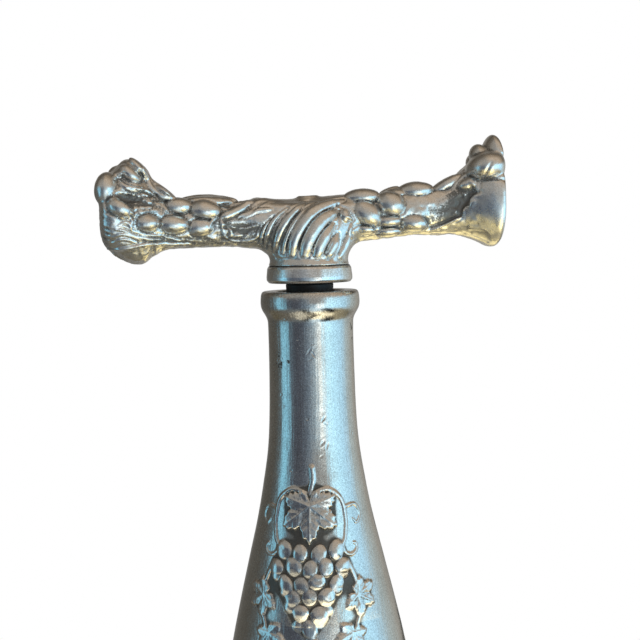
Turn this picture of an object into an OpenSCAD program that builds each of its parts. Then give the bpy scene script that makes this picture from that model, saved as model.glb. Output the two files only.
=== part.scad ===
// T-handle corkscrew of cast pewter, kept in a bottle-shaped pewter sheath.
// Units are millimetres and +Z is up. The origin is the centre of the sheath's
// foot, on the table. The T-bar of the handle lies along X and the pull is
// along +Z. Heights on the sheath are measured down from the top of its lip.

/* [Sheath] */
// Height of the sheath, from the table to the top of its lip
sheath_h = 185; // [180:1:200]
// Radius of the bottle's body
body_r = 27; // [26.5:0.1:28]
// Radius of the lip at its widest
lip_r = 13; // [12.6:0.1:13.6]
// Wall thickness of the cast shell
wall = 2.4; // [2.2:0.1:2.6]
// Turn of the shell's front from -Y, in degrees, negative towards -X
front_turn = -16; // [-45:1:45]
// Inner radius of the neck, where the mouth bush is soldered in
neck_ri = 8.8; // [8.6:0.05:8.9]

/* [Stopper] */
// Radius of the stopper at its top
stopper_r = 6.3; // [6.1:0.05:6.5]
// Height of the stopper that shows between the lip and the ferrule
stopper_show = 2; // [1.5:0.1:3]
// Depth of the stopper below the top of the lip
stopper_depth = 18; // [16:0.5:19]
// Clearance between the seated stopper and the bush
seat_gap = 0.06; // [0.04:0.01:0.1]

/* [Worm] */
// Radius of the straight shank
shank_r = 2.6; // [2.4:0.05:2.8]
// Radius of the worm's wire
wire_r = 1.55; // [1.3:0.05:1.6]
// Outer radius of the worm
worm_r = 4.6; // [4.2:0.1:4.7]
// Rise of the worm in one turn
worm_pitch = 9; // [8:0.5:10]
// Number of turns
worm_turns = 6; // [5:0.5:7]
// Running clearance of the shank in the stopper
run_gap = 0.05; // [0.02:0.01:0.08]

/* [Handle] */
// How far the handle reaches to the left
left_reach = 54.4; // [53:0.2:57]
// How far the handle reaches to the right
right_reach = 52; // [51.6:0.2:54]
// Radius of the bar between the hub and the ends
bar_r = 6.4; // [6:0.1:6.8]
// Height of the bar's middle above the lip
bar_up = 18.9; // [18.5:0.1:19.5]
// Outer radius of the ferrule
ferrule_r = 11.3; // [11:0.1:11.6]
// Height of the ferrule
ferrule_h = 4.5; // [4:0.1:5]

/* [Hidden] */

H = sheath_h;
pewter = [0.60, 0.59, 0.56];
dark_pewter = [0.52, 0.51, 0.48];
steel = [0.72, 0.73, 0.75];
black = [0.03, 0.03, 0.035];
felt_green = [0.07, 0.16, 0.10];

felt_t = 1.5;          // felt, which stands below the metal foot
foot_z = 0.5;          // lowest metal of the shell
plate_top = 3.7;       // ledge that the base plate is soldered against
plate_r = 24.6;        // rebate in the foot
ledge_r = 23.6;
bush_t0 = 0.8;         // the bush's top, below the lip
bush_t1 = 23;          // the bush's lower end, on a ledge in the neck
taper = 1 / 20;        // stopper radius lost for each mm of depth
ferrule_z0 = H + stopper_show + 0.15;
ferrule_z1 = ferrule_z0 + ferrule_h;
spigot_r = 7;
tang_top = H + 17;     // upper end of the shank inside the hub
pin_z = H + 11;
pin_r = 1.2;
shoulder_t = stopper_depth + 1;   // where the shank turns into the worm
bar_z = H + bar_up;

// ---- curves ---------------------------------------------------------------
// Smooth curve through [x, y] points: cubic Hermite with central slopes.
function seg_of(p, t, i = 0) = (i >= len(p) - 2 || t < p[i + 1][0]) ? i : seg_of(p, t, i + 1);
function slope_at(p, i) = let (a = max(i - 1, 0), b = min(i + 1, len(p) - 1)) (p[b][1] - p[a][1]) / (p[b][0] - p[a][0]);
function curve(p, t) =
    let (i = seg_of(p, t), h = p[i + 1][0] - p[i][0], s = (t - p[i][0]) / h)
    (2 * s * s * s - 3 * s * s + 1) * p[i][1] + (s * s * s - 2 * s * s + s) * h * slope_at(p, i)
    + (3 * s * s - 2 * s * s * s) * p[i + 1][1] + (s * s * s - s * s) * h * slope_at(p, i + 1);

// Neck, shoulder and body: depth below the lip, outer radius.
neck_r = lip_r - 1.8;
bottle_line = [[8, neck_r + 0.05], [11, neck_r], [17, neck_r], [29, neck_r + 0.2], [40, neck_r + 0.8],
    [50, neck_r + 2.25], [60, neck_r + 4.15], [72, neck_r + 7], [83, neck_r + 9.6],
    [94, body_r - 3.85], [106, body_r - 1.7], [118, body_r - 0.4], [130, body_r], [H - 6, body_r]];
lip_line = [[0.6, 12.15], [1.4, 12.7], [3, 13], [4.7, 12.75], [5.9, 12.15], [6.9, 11.6]];

function outer_r(t) = curve(bottle_line, t);
body_t = [for (t = [8 : 4 : H - 8]) t];

shell_section = concat(
    [[plate_r, foot_z], [body_r - 1.2, foot_z], [body_r - 0.45, 2], [body_r - 0.1, 4]],
    [[body_r, 6]],
    [for (i = [len(body_t) - 1 : -1 : 0]) [outer_r(body_t[i]), H - body_t[i]]],
    [for (i = [len(lip_line) - 1 : -1 : 0]) [lip_line[i][1] + lip_r - 13, H - lip_line[i][0]]],
    [[lip_r - 1.4, H], [neck_ri + 0.4, H], [neck_ri, H - 0.4], [neck_ri, H - bush_t1],
     [neck_ri - 0.6, H - bush_t1], [neck_ri - 0.6, H - bush_t1 - 1.5], [neck_ri, H - bush_t1 - 4]],
    [for (t = [30 : 4 : H - 14]) [max(neck_ri, outer_r(t) - wall), H - t]],
    [[body_r - wall, 9], [ledge_r, 6.5], [ledge_r, plate_top], [plate_r, plate_top]]);

// ---- sheath ---------------------------------------------------------------
module shell_half() rotate_extrude(angle = 180, $fn = 96) polygon(shell_section);

// Raised bunch of grapes, part of the casting on the front of the shoulder:
// rows of [depth below the lip, number of grapes].
bunch = [[66, 4], [69.7, 5], [73.4, 4], [77.1, 3], [80.8, 2], [84.5, 1]];
bunch_step = 4.2;      // from one grape to the next, along the surface
module shoulder_grapes()
    for (row = bunch, k = [0 : row[1] - 1]) {
        r = outer_r(row[0]) - 0.3;
        rotate([0, 0, (k - (row[1] - 1) / 2) * bunch_step / r * 180 / PI])
            translate([0, -r, H - row[0]]) sphere(r = 1.9, $fn = 32);
    }

module bottle_front() color(pewter) rotate([0, 0, front_turn]) {
    rotate([0, 0, 180]) shell_half();
    shoulder_grapes();
}
module bottle_back() color(pewter) rotate([0, 0, front_turn]) shell_half();

module mouth_bush() color(dark_pewter)
    rotate_extrude($fn = 72) polygon([
        [bore_r(bush_t0) + 0.5, H - bush_t0], [neck_ri - 0.03, H - bush_t0],
        [neck_ri - 0.03, H - bush_t1], [bore_r(bush_t1), H - bush_t1],
        [bore_r(bush_t0 + 0.8), H - bush_t0 - 0.8]]);
function cone_r(t) = stopper_r - (t + stopper_show) * taper;
function bore_r(t) = cone_r(t) + seat_gap;

module base_plate() color(dark_pewter)
    translate([0, 0, felt_t]) cylinder(r = plate_r - 0.05, h = plate_top - felt_t, $fn = 96);

module base_felt() color(felt_green) cylinder(r = plate_r - 0.4, h = felt_t, $fn = 96);

// ---- stopper --------------------------------------------------------------
module stopper() color(black)
    rotate_extrude($fn = 72) polygon([
        [shank_r + run_gap, H + stopper_show], [stopper_r - 0.3, H + stopper_show],
        [stopper_r, H + stopper_show - 0.3],
        [cone_r(stopper_depth - 0.6), H - stopper_depth + 0.6],
        [cone_r(stopper_depth) - 0.6, H - stopper_depth],
        [shank_r + run_gap, H - stopper_depth]]);

// ---- worm -----------------------------------------------------------------
rings_turn = 20;
sides = 12;
rings = worm_turns * rings_turn;
helix_r = worm_r - wire_r;
function ease(x) = let (s = min(max(x, 0), 1)) s * s * (3 - 2 * s);
function worm_turn(i) = i / rings_turn;                       // turns from the shoulder
function path_r(u) = helix_r * ease(u / 0.8) * (1 - 0.18 * ease((u - worm_turns + 0.7) / 0.7));
function path_z(u) = H - shoulder_t - 1 - 1.5 * min(u, 0.8) - worm_pitch * u;
function path(u) = [path_r(u) * cos(360 * u), -path_r(u) * sin(360 * u), path_z(u)];
function tube_r(u) = (shank_r - 0.06 + (wire_r - shank_r + 0.06) * ease(u / 0.7)) * (1 - 0.84 * ease((u - worm_turns + 0.9) / 0.9));
function unit(v) = v / norm(v);
function ring(u) =
    let (c = path(u), d = 0.004, tan_v = unit(path(min(u + d, worm_turns)) - path(max(u - d, 0))),
         out = [cos(360 * u), -sin(360 * u), 0],
         b = unit(cross(tan_v, out)), n = cross(b, tan_v), r = tube_r(u))
    [for (k = [0 : sides - 1]) c + r * (cos(360 * k / sides) * n + sin(360 * k / sides) * b)];
worm_points = concat(
    [for (k = [0 : sides - 1]) [(shank_r - 0.06) * cos(360 * k / sides), -(shank_r - 0.06) * sin(360 * k / sides), H - shoulder_t + 1]],
    [for (i = [0 : rings]) each ring(worm_turn(i))]);
worm_faces = concat(
    [[for (k = [0 : sides - 1]) k]],
    [for (i = [0 : rings]) for (k = [0 : sides - 1]) let (a = i * sides + k, b = i * sides + (k + 1) % sides) each [[a, a + sides, b + sides], [a, b + sides, b]]],
    [[for (k = [sides - 1 : -1 : 0]) (rings + 1) * sides + k]]);

module worm() color(steel) difference() {
    union() {
        translate([0, 0, H - shoulder_t]) cylinder(r = shank_r, h = tang_top - H + shoulder_t, $fn = 48);
        polyhedron(worm_points, worm_faces, convexity = 10);
    }
    translate([0, 0, pin_z]) rotate([90, 0, 0]) cylinder(r = pin_r + 0.02, h = 12, center = true, $fn = 32);
}

// ---- handle ---------------------------------------------------------------
module cross_pin() color(steel)
    translate([0, 0, pin_z]) rotate([90, 0, 0]) cylinder(r = pin_r, h = 20, center = true, $fn = 32);

module hub_ferrule() color(pewter)
    rotate_extrude($fn = 96) polygon([
        [spigot_r, ferrule_z0], [ferrule_r - 0.6, ferrule_z0], [ferrule_r - 0.1, ferrule_z0 + 0.4],
        [ferrule_r, ferrule_z0 + 1.2], [ferrule_r, ferrule_z1 - 1.2],
        [ferrule_r - 0.2, ferrule_z1 - 0.4], [ferrule_r - 0.6, ferrule_z1], [spigot_r, ferrule_z1]]);

hub_line = [[10.7, 0], [10.5, 1.2], [10.7, 2.8], [11.3, 4.4], [11.7, 7], [11.5, 10], [10.6, 13], [8.6, 15.6], [5, 17.4], [0, 17.9]];

// Revolved about the X axis from [x, r] points, at a height.
module along_x(p, z) translate([0, 0, z]) rotate([0, 90, 0]) rotate_extrude($fn = 64)
    polygon(concat([[0, p[0][0]]], [for (q = p) [q[1], q[0]]], [[0, p[len(p) - 1][0]]]));

left_bar = [[-38, 4.5], [-36, 6.2], [-33, 6.5], [-26, bar_r], [-18, bar_r - 0.3], [-10, bar_r + 0.2], [0, bar_r]];
left_end = [[-left_reach, 6.5], [-left_reach + 0.6, 8.5], [-52, 10.8], [-49.5, 12.6], [-46.5, 13.2], [-44, 12.4], [-41, 9.8], [-38, 7.6], [-34, 5.5], [-28, 3]];
right_bar = [[0, bar_r], [10, bar_r + 0.3], [18, bar_r - 0.1], [26, bar_r], [34, bar_r], [38, 6.6], [41, 5]];
right_end = [[28, 1.5], [36, 4], [40, 6.8], [43.4, 10.2], [46, 12.9], [48, 14.2], [49.6, 14.4], [51.2, 12.9], [right_reach, 10.6]];

// Grapes: [x, height above the lip, length, thickness, tilt in degrees].
grapes = [
    [-35.6, 22.6, 7.6, 4.4, 4], [-27.9, 21.6, 8.2, 4.8, -6], [-42.6, 17.8, 6, 4.4, 0], [-36.3, 17.8, 8, 4.6, -4], [-29.4, 17.2, 6, 4, 0],
    [-52, 27.4, 6.6, 7, 60], [-48.6, 22, 6, 4.6, -30],
    [14.2, 24, 7.8, 3.8, 3], [15.4, 19.4, 7, 5.2, -30], [21.8, 22.4, 7.4, 5.8, -20], [28.6, 25.6, 7.6, 4, 6], [27.6, 17.2, 6.8, 4, 8],
    [37, 27.8, 8.6, 3.8, 30], [46.4, 32, 7.8, 6.8, 30], [48.2, 36.6, 6.4, 6, 60]];

module grape(len, thick) rotate([0, 90, 0]) rotate_extrude($fn = 32)
    polygon(concat([[0, -len / 2]], [for (a = [-72 : 18 : 72]) [thick / 2 * cos(a), len / 2 * sin(a)]], [[0, len / 2]]));

// Depth of the bar's surface at a grape, from the bar's and the ends' radii.
function half_depth(x, z) =
    let (e = x < -40 ? [22, 11] : x > 42 ? [25.2, 12] : [bar_up, bar_r], d = e[1] * e[1] - (z - e[0]) * (z - e[0]))
    d > 4 ? sqrt(d) : 2;

module vine_handle() color(pewter) difference() {
    union() {
        translate([0, 0, ferrule_z1]) rotate_extrude($fn = 96) polygon(concat([[0, 0]], hub_line));
        translate([0, 0, ferrule_z0]) cylinder(r = spigot_r - 0.02, h = ferrule_h + 2, $fn = 72);
        along_x(left_bar, bar_z);
        along_x(left_end, H + 22);
        along_x(right_bar, bar_z + 0.7);
        along_x(right_end, H + 25.2);
        for (g = grapes, side = [-1, 1])
            translate([g[0], side * (half_depth(g[0], g[1]) - 0.5), H + g[1]]) rotate([0, -g[4], 0]) grape(g[2], g[3]);
    }
    translate([0, 0, ferrule_z0 - 1]) cylinder(r = shank_r + 0.02, h = tang_top - ferrule_z0 + 1.2, $fn = 48);
    translate([0, 0, pin_z]) rotate([90, 0, 0]) cylinder(r = pin_r + 0.02, h = 40, center = true, $fn = 32);
}

vine_handle();
hub_ferrule();
worm();
cross_pin();
stopper();
mouth_bush();
bottle_front();
bottle_back();
base_plate();
base_felt();
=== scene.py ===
import math

import bpy
import numpy as np
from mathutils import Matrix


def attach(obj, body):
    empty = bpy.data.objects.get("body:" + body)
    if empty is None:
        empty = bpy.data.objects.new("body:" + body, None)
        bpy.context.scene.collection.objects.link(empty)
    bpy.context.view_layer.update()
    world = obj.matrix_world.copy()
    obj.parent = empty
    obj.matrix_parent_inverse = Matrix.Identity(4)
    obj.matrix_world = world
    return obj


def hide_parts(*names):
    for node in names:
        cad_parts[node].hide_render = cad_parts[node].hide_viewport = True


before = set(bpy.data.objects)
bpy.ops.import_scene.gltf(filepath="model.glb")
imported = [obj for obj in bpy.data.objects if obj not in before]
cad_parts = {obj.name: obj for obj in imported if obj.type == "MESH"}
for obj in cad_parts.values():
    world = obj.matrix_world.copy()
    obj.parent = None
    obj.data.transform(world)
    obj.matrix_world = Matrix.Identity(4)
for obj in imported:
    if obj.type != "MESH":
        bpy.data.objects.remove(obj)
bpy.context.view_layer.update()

MM = 0.001
H = 185.0            # height of the lip above the table, mm
FRONT = -16.0        # the sheath's decorated side, degrees from -Y towards -X when negative
rng = np.random.default_rng(7)

# --------------------------------------------------------------------------
# camera: level with the handle and a little to its left
# --------------------------------------------------------------------------
AZ, DIST, EYE, FPX, ROLL = math.radians(-10.0), 350.0, H + 15.5, 1330.0, math.radians(1.45)
BACK = np.array([math.sin(AZ), -math.cos(AZ), 0.0])
SIDE = np.array([math.cos(AZ), math.sin(AZ), 0.0])
CAM = BACK * DIST + np.array([0.0, 0.0, EYE])
_aim = np.array([0.0, 0.0, H - 7.9]) + SIDE * 2.5
CF = (_aim - CAM) / np.linalg.norm(_aim - CAM)
_r = np.cross(CF, [0.0, 0.0, 1.0]); _r /= np.linalg.norm(_r)
_u = np.cross(_r, CF)
CR = _r * math.cos(ROLL) - _u * math.sin(ROLL)
CU = _u * math.cos(ROLL) + _r * math.sin(ROLL)


def ray(px, py):
    """Direction through a point of the 640 by 640 frame."""
    d = CF + (px - 320.0) / FPX * CR - (py - 320.0) / FPX * CU
    return d / np.linalg.norm(d)


def make_camera():
    from mathutils import Matrix
    data = bpy.data.cameras.new("camera")
    data.sensor_fit = "HORIZONTAL"
    data.sensor_width = 36.0
    data.lens = 36.0 * FPX / 640.0
    data.clip_start = 0.01
    data.clip_end = 20.0
    cam = bpy.data.objects.new("camera", data)
    m = Matrix.Identity(4)
    for i in range(3):
        m[i][0], m[i][1], m[i][2], m[i][3] = CR[i], CU[i], -CF[i], CAM[i] * MM
    cam.matrix_world = m
    bpy.context.scene.collection.objects.link(cam)
    bpy.context.scene.camera = cam


# --------------------------------------------------------------------------
# mesh helpers
# --------------------------------------------------------------------------
def new_mesh(name, verts_mm, faces, attrs=None, sharp=None):
    """Object from vertices in mm and an (n, 3 or 4) face array, or a list of such arrays."""
    groups = [np.asarray(f, np.int32) for f in (faces if isinstance(faces, list) else [faces]) if len(f)]
    me = bpy.data.meshes.new(name)
    v = np.ascontiguousarray(np.asarray(verts_mm, np.float64) * MM, np.float32)
    me.vertices.add(len(v))
    me.vertices.foreach_set("co", v.ravel())
    loops = np.concatenate([g.ravel() for g in groups])
    sizes = np.concatenate([np.full(len(g), g.shape[1], np.int32) for g in groups])
    starts = np.concatenate([[0], np.cumsum(sizes)[:-1]]).astype(np.int32)
    me.loops.add(len(loops))
    me.loops.foreach_set("vertex_index", loops.astype(np.int32))
    me.polygons.add(len(sizes))
    me.polygons.foreach_set("loop_start", starts)
    me.update(calc_edges=True)
    me.polygons.foreach_set("use_smooth", np.ones(len(sizes), bool))
    me.validate()
    if sharp is not None:
        me.set_sharp_from_angle(angle=math.radians(sharp))
    for key, val in (attrs or {}).items():
        a = me.attributes.new(key, "FLOAT", "POINT")
        a.data.foreach_set("value", np.ascontiguousarray(val, np.float32))
    ob = bpy.data.objects.new(name, me)
    bpy.context.scene.collection.objects.link(ob)
    return ob


def smoothstep(a, b, x):
    t = np.clip((x - a) / (b - a), 0.0, 1.0)
    return t * t * (3.0 - 2.0 * t)


def hermite(points, x):
    """Smooth curve through [x, y] points, the same rule that the CAD model's bottle uses."""
    p = np.asarray(points, float)
    s = np.empty(len(p))
    s[1:-1] = (p[2:, 1] - p[:-2, 1]) / (p[2:, 0] - p[:-2, 0])
    s[0] = (p[1, 1] - p[0, 1]) / (p[1, 0] - p[0, 0])
    s[-1] = (p[-1, 1] - p[-2, 1]) / (p[-1, 0] - p[-2, 0])
    x = np.asarray(x, float)
    i = np.clip(np.searchsorted(p[:, 0], x, side="right") - 1, 0, len(p) - 2)
    h = p[i + 1, 0] - p[i, 0]
    t = np.clip((x - p[i, 0]) / h, 0.0, 1.0)
    return ((2 * t ** 3 - 3 * t ** 2 + 1) * p[i, 1] + (t ** 3 - 2 * t ** 2 + t) * h * s[i]
            + (3 * t ** 2 - 2 * t ** 3) * p[i + 1, 1] + (t ** 3 - t ** 2) * h * s[i + 1])


def catmull(pts, step):
    """Points along a smooth curve through pts, about step apart."""
    p = np.asarray(pts, float)
    if len(p) < 3:
        n = max(2, int(np.linalg.norm(p[-1] - p[0]) / step) + 1)
        return p[0] + (p[-1] - p[0]) * np.linspace(0, 1, n)[:, None]
    q = np.vstack([2 * p[0] - p[1], p, 2 * p[-1] - p[-2]])
    out = []
    for i in range(1, len(q) - 2):
        n = max(2, int(np.linalg.norm(q[i + 1] - q[i]) / step) + 1)
        t = np.linspace(0, 1, n, endpoint=False)[:, None]
        out.append(0.5 * (2 * q[i] + (q[i + 1] - q[i - 1]) * t + (2 * q[i - 1] - 5 * q[i] + 4 * q[i + 1] - q[i + 2]) * t ** 2
                          + (3 * q[i] - q[i - 1] - 3 * q[i + 1] + q[i + 2]) * t ** 3))
    out.append(p[-1:])
    return np.vstack(out)


def lattice_noise(shape, seed):
    return np.random.default_rng(seed).random(shape).astype(np.float32) * 2 - 1


def value_noise(x, y, z, size, seed):
    """Smooth noise from -1 to 1 with features of about size."""
    n = 32
    g = lattice_noise((n, n, n), seed)
    out = 0.0
    px, py, pz = x / size + 100.0, y / size + 100.0, z / size + 100.0
    ix, iy, iz = np.floor(px).astype(int), np.floor(py).astype(int), np.floor(pz).astype(int)
    fx, fy, fz = px - ix, py - iy, pz - iz
    fx, fy, fz = fx * fx * (3 - 2 * fx), fy * fy * (3 - 2 * fy), fz * fz * (3 - 2 * fz)
    for dx in (0, 1):
        for dy in (0, 1):
            for dz in (0, 1):
                w = (fx if dx else 1 - fx) * (fy if dy else 1 - fy) * (fz if dz else 1 - fz)
                out = out + w * g[(ix + dx) % n, (iy + dy) % n, (iz + dz) % n]
    return out


def lathe(name, profile, seg=160, sharp=40.0, attrs=False):
    """Closed ring turned from [r, z] points, given once around its section."""
    p = np.asarray(profile, float)
    n = len(p)
    a = np.linspace(0, 2 * math.pi, seg, endpoint=False)
    v = np.stack([p[None, :, 0] * np.cos(a)[:, None], p[None, :, 0] * np.sin(a)[:, None],
                  np.broadcast_to(p[None, :, 1], (seg, n))], -1).reshape(-1, 3)
    i, j = np.meshgrid(np.arange(seg), np.arange(n), indexing="ij")
    i2, j2 = (i + 1) % seg, (j + 1) % n
    f = np.stack([i * n + j, i2 * n + j, i2 * n + j2, i * n + j2], -1).reshape(-1, 4)
    return new_mesh(name, v, f, sharp=sharp)


def rounded(profile, radius=0.3, steps=4):
    """A closed section with each corner rounded; a point may carry its own radius as a third number."""
    n = len(profile)
    out = []
    for k in range(n):
        p0, p1, p2 = (np.array(profile[(k + d) % n][:2], float) for d in (-1, 0, 1))
        r = profile[k][2] if len(profile[k]) > 2 else radius
        a, b = p0 - p1, p2 - p1
        la, lb = np.linalg.norm(a), np.linalg.norm(b)
        c = float(np.clip(a @ b / (la * lb), -1, 1))
        if r <= 0 or abs(c) > 0.999:
            out.append(p1)
            continue
        cut = min(r / math.tan(math.acos(c) / 2), 0.45 * la, 0.45 * lb)
        s, e = p1 + a / la * cut, p1 + b / lb * cut
        for t in np.linspace(0, 1, steps + 1):
            out.append((1 - t) ** 2 * s + 2 * t * (1 - t) * p1 + t ** 2 * e)
    return out


# --------------------------------------------------------------------------
# sheath: the two half castings, with raised vine work on the front
# --------------------------------------------------------------------------
NECK_R, BODY_R, WALL, BORE = 11.2, 27.0, 2.4, 8.8
BOTTLE = [[8, NECK_R + 0.05], [11, NECK_R], [17, NECK_R], [29, NECK_R + 0.2], [40, NECK_R + 0.8],
          [50, NECK_R + 2.25], [60, NECK_R + 4.15], [72, NECK_R + 7], [83, NECK_R + 9.6],
          [94, BODY_R - 3.85], [106, BODY_R - 1.7], [118, BODY_R - 0.4], [130, BODY_R], [H - 6, BODY_R]]
LIP = [[0.0, 12.1], [0.12, 12.4], [0.35, 12.62], [0.75, 12.8], [1.4, 12.93], [2.2, 13.0], [3.0, 13.03], [3.9, 12.95], [4.7, 12.72],
       [5.4, 12.38], [6.1, 11.95], [6.9, 11.55], [7.6, 11.32], [8.4, 11.24]]


def outer_radius(t):
    t = np.asarray(t, float)
    return np.where(t < 8.0, hermite(LIP, np.minimum(t, 8.4)), hermite(BOTTLE, np.maximum(t, 8.0)))


def dist_polyline(u, v, pts):
    """Distance from points to a polyline in the plane, and how far along it (0 to 1) the nearest point is."""
    p = np.asarray(pts, float)
    seg = np.linalg.norm(np.diff(p, axis=0), axis=1)
    cum = np.concatenate([[0], np.cumsum(seg)])
    best = np.full(u.shape, 1e9)
    along = np.zeros(u.shape)
    for k in range(len(p) - 1):
        ax, ay = p[k]
        bx, by = p[k + 1] - p[k]
        t = np.clip(((u - ax) * bx + (v - ay) * by) / max(seg[k] ** 2, 1e-9), 0, 1)
        d = np.hypot(u - ax - t * bx, v - ay - t * by)
        m = d < best
        best = np.where(m, d, best)
        along = np.where(m, (cum[k] + t * seg[k]) / cum[-1], along)
    return best, along


def cord_relief(u, v, pts, r0, r1, high):
    """Round raised line that tapers from half-width r0 to r1."""
    d, s = dist_polyline(u, v, catmull(pts, 0.4))
    r = r0 + (r1 - r0) * s
    return high * (r / max(r0, r1)) * np.sqrt(np.clip(1 - (d / r) ** 2, 0, None))


LEAF_ANGLE = np.array([0, 12, 24, 38, 52, 66, 80, 95, 110, 126, 142, 156, 170, 180.0])
LEAF_SIZE = np.array([1.0, 0.84, 0.62, 0.80, 0.93, 0.76, 0.55, 0.66, 0.74, 0.58, 0.46, 0.44, 0.30, 0.10])


def leaf_relief(u, v, cu, cv, size, turn, high=0.75):
    """Five-lobed vine leaf. Its stalk joins at (cu, cv) and its tip points down the sheath when turn is 0."""
    a = math.radians(turn)
    x, y = (u - cu) * math.cos(a) + (v - cv) * math.sin(a), -(u - cu) * math.sin(a) + (v - cv) * math.cos(a)
    rho, th = np.hypot(x, y), np.degrees(np.arctan2(x, y))
    edge_r = np.interp(np.abs(th), LEAF_ANGLE, LEAF_SIZE)
    tooth = np.abs(((np.abs(th) / 11.0) % 1.0) - 0.5) * 2
    edge_r = size * (edge_r + 0.075 * (tooth - 0.5))
    e = edge_r - rho
    inside = smoothstep(0.0, 0.45, e)
    h = high * inside
    vein = np.zeros_like(u)
    gap = np.full(u.shape, 180.0)
    for lobe, reach in ((0, 0.92), (52, 0.82), (-52, 0.82), (110, 0.62), (-110, 0.62)):
        d = (th - lobe + 180) % 360 - 180
        gap = np.minimum(gap, np.abs(d))
        along, across = rho * np.cos(np.radians(d)), rho * np.sin(np.radians(d))
        w = 0.16 + 0.16 * np.clip(1 - along / (size * reach), 0, 1)
        vein = np.maximum(vein, np.where((along > 0) & (along < size * reach), np.exp(-(across / w) ** 2), 0))
        side = np.abs(((along - 0.9 * np.abs(across)) / (0.17 * size)) % 1.0 - 0.5) * 2
        vein = np.maximum(vein, 0.55 * smoothstep(0.78, 1.0, side) * (np.abs(across) < 0.3 * size) * (along > 0.12 * size) * (along < size * reach))
    h = h + inside * (0.26 * vein - 0.3 * np.exp(-((gap - 28) / 9.0) ** 2) * smoothstep(0.1 * size, 0.5 * size, rho)
                      + 0.22 * smoothstep(0.15 * size, 0.8 * size, rho))
    return h * (e > 0)


BUNCH = [[66, 4], [69.7, 5], [73.4, 4], [77.1, 3], [80.8, 2], [84.5, 1]]


def vine_relief(u, v):
    """Raised work on the shoulder, in mm: u is across and v is the depth below the lip, both along the surface."""
    h = np.zeros_like(u)
    # stem and tendrils
    for s in (-1, 1):
        spiral = [(s * (11.6 + (3.3 - 0.32 * k) * math.cos(0.62 * k + 2.3)), 65.0 - (3.3 - 0.32 * k) * math.sin(0.62 * k + 2.3)) for k in range(9)]
        h = np.maximum(h, cord_relief(u, v, [(s * 0.8, 51.2), (s * 4.6, 50.4), (s * 8.2, 53.0), (s * 9.6, 58.0), *spiral], 0.62, 0.34, 0.75))
        h = np.maximum(h, cord_relief(u, v, [(s * 9.2, 55.2), (s * 12.6, 55.0), (s * 14.4, 57.6), (s * 13.2, 59.6), (s * 11.8, 58.6)], 0.44, 0.26, 0.6))
        h = np.maximum(h, cord_relief(u, v, [(s * 9.8, 68.4), (s * 12.6, 74.0), (s * 13.6, 80.0), (s * 11.6, 86.0), (s * 7.6, 91.5), (s * 3.0, 94.6)], 0.62, 0.5, 0.75))
        h = np.maximum(h, leaf_relief(u, v, s * 12.8, 77.0, 6.2, -s * 62))
        h = np.maximum(h, leaf_relief(u, v, s * 11.2, 86.0, 5.6, s * 16))
        h = np.maximum(h, leaf_relief(u, v, s * 4.0, 94.0, 6.4, -s * 24))
    h = np.maximum(h, cord_relief(u, v, [(0.6, 45.0), (0.9, 48.0), (0.2, 51.0), (0.0, 54.5), (0.0, 63.0)], 0.75, 0.6, 0.9))
    # bunch of grapes, none quite alike
    jit = np.random.default_rng(3)
    bunch = np.zeros_like(u)
    for row, (t, n) in enumerate(BUNCH):
        for k in range(n):
            gu = (k - (n - 1) / 2) * 4.2 + jit.uniform(-0.55, 0.55)
            gv = t + jit.uniform(-0.6, 0.6)
            a, b, turn = jit.uniform(1.95, 2.5), jit.uniform(2.15, 2.85), jit.uniform(-0.6, 0.6)
            du, dv = (u - gu) * math.cos(turn) + (v - gv) * math.sin(turn), -(u - gu) * math.sin(turn) + (v - gv) * math.cos(turn)
            q = (du / a) ** 2 + (dv / b) ** 2
            lift = 0.3 * (1 - abs(k - (n - 1) / 2) / 2.6) + jit.uniform(-0.22, 0.22)
            bunch = np.maximum(bunch, np.where(q < 1, np.sqrt(np.clip(1 - q, 0, None)) * jit.uniform(1.05, 1.4) + lift - 0.1, 0))
    for gu, gv, r in ((-4.9, 79.0, 2.0), (4.2, 79.9, 1.7), (-2.7, 83.6, 1.7), (2.3, 82.6, 1.9), (-8.9, 71.9, 1.6), (8.4, 70.9, 1.9), (0.5, 87.9, 1.6), (-6.6, 75.6, 1.5), (6.9, 75.2, 1.6)):
        q = ((u - gu) ** 2 + (v - gv) ** 2) / r ** 2
        bunch = np.maximum(bunch, np.where(q < 1, np.sqrt(np.clip(1 - q, 0, None)) * 0.95, 0))
    h = np.maximum(h, bunch)
    # the big leaf lies over the head of the bunch
    big = leaf_relief(u, v, 0.0, 54.4, 9.6, 0.0, 1.25)
    h = np.where(big > 0.05, np.maximum(big, 0.55 * h + 0.2), h)
    return h


def box_blur(a, r, axis):
    pad = [(0, 0)] * a.ndim
    pad[axis] = (r + 1, r)
    c = np.cumsum(np.pad(a, pad, mode="edge"), axis=axis, dtype=np.float64)
    n = a.shape[axis]
    hi = np.take(c, np.arange(2 * r + 1, 2 * r + 1 + n), axis=axis)
    lo = np.take(c, np.arange(0, n), axis=axis)
    return (hi - lo) / (2 * r + 1)


def soft_blur(a, r):
    for axis in (0, 1):
        for _ in range(2):
            a = box_blur(a, r, axis)
    return a


def joined_strip(a, b, za, zb):
    """Triangles between two rows of vertex indices whose heights both fall from first to last."""
    out, i, j = [], 0, 0
    while i < len(a) - 1 or j < len(b) - 1:
        if j == len(b) - 1 or (i < len(a) - 1 and za[i + 1] >= zb[j + 1]):
            out.append((a[i], a[i + 1], b[j]))
            i += 1
        else:
            out.append((a[i], b[j + 1], b[j]))
            j += 1
    return np.array(out)


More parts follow.
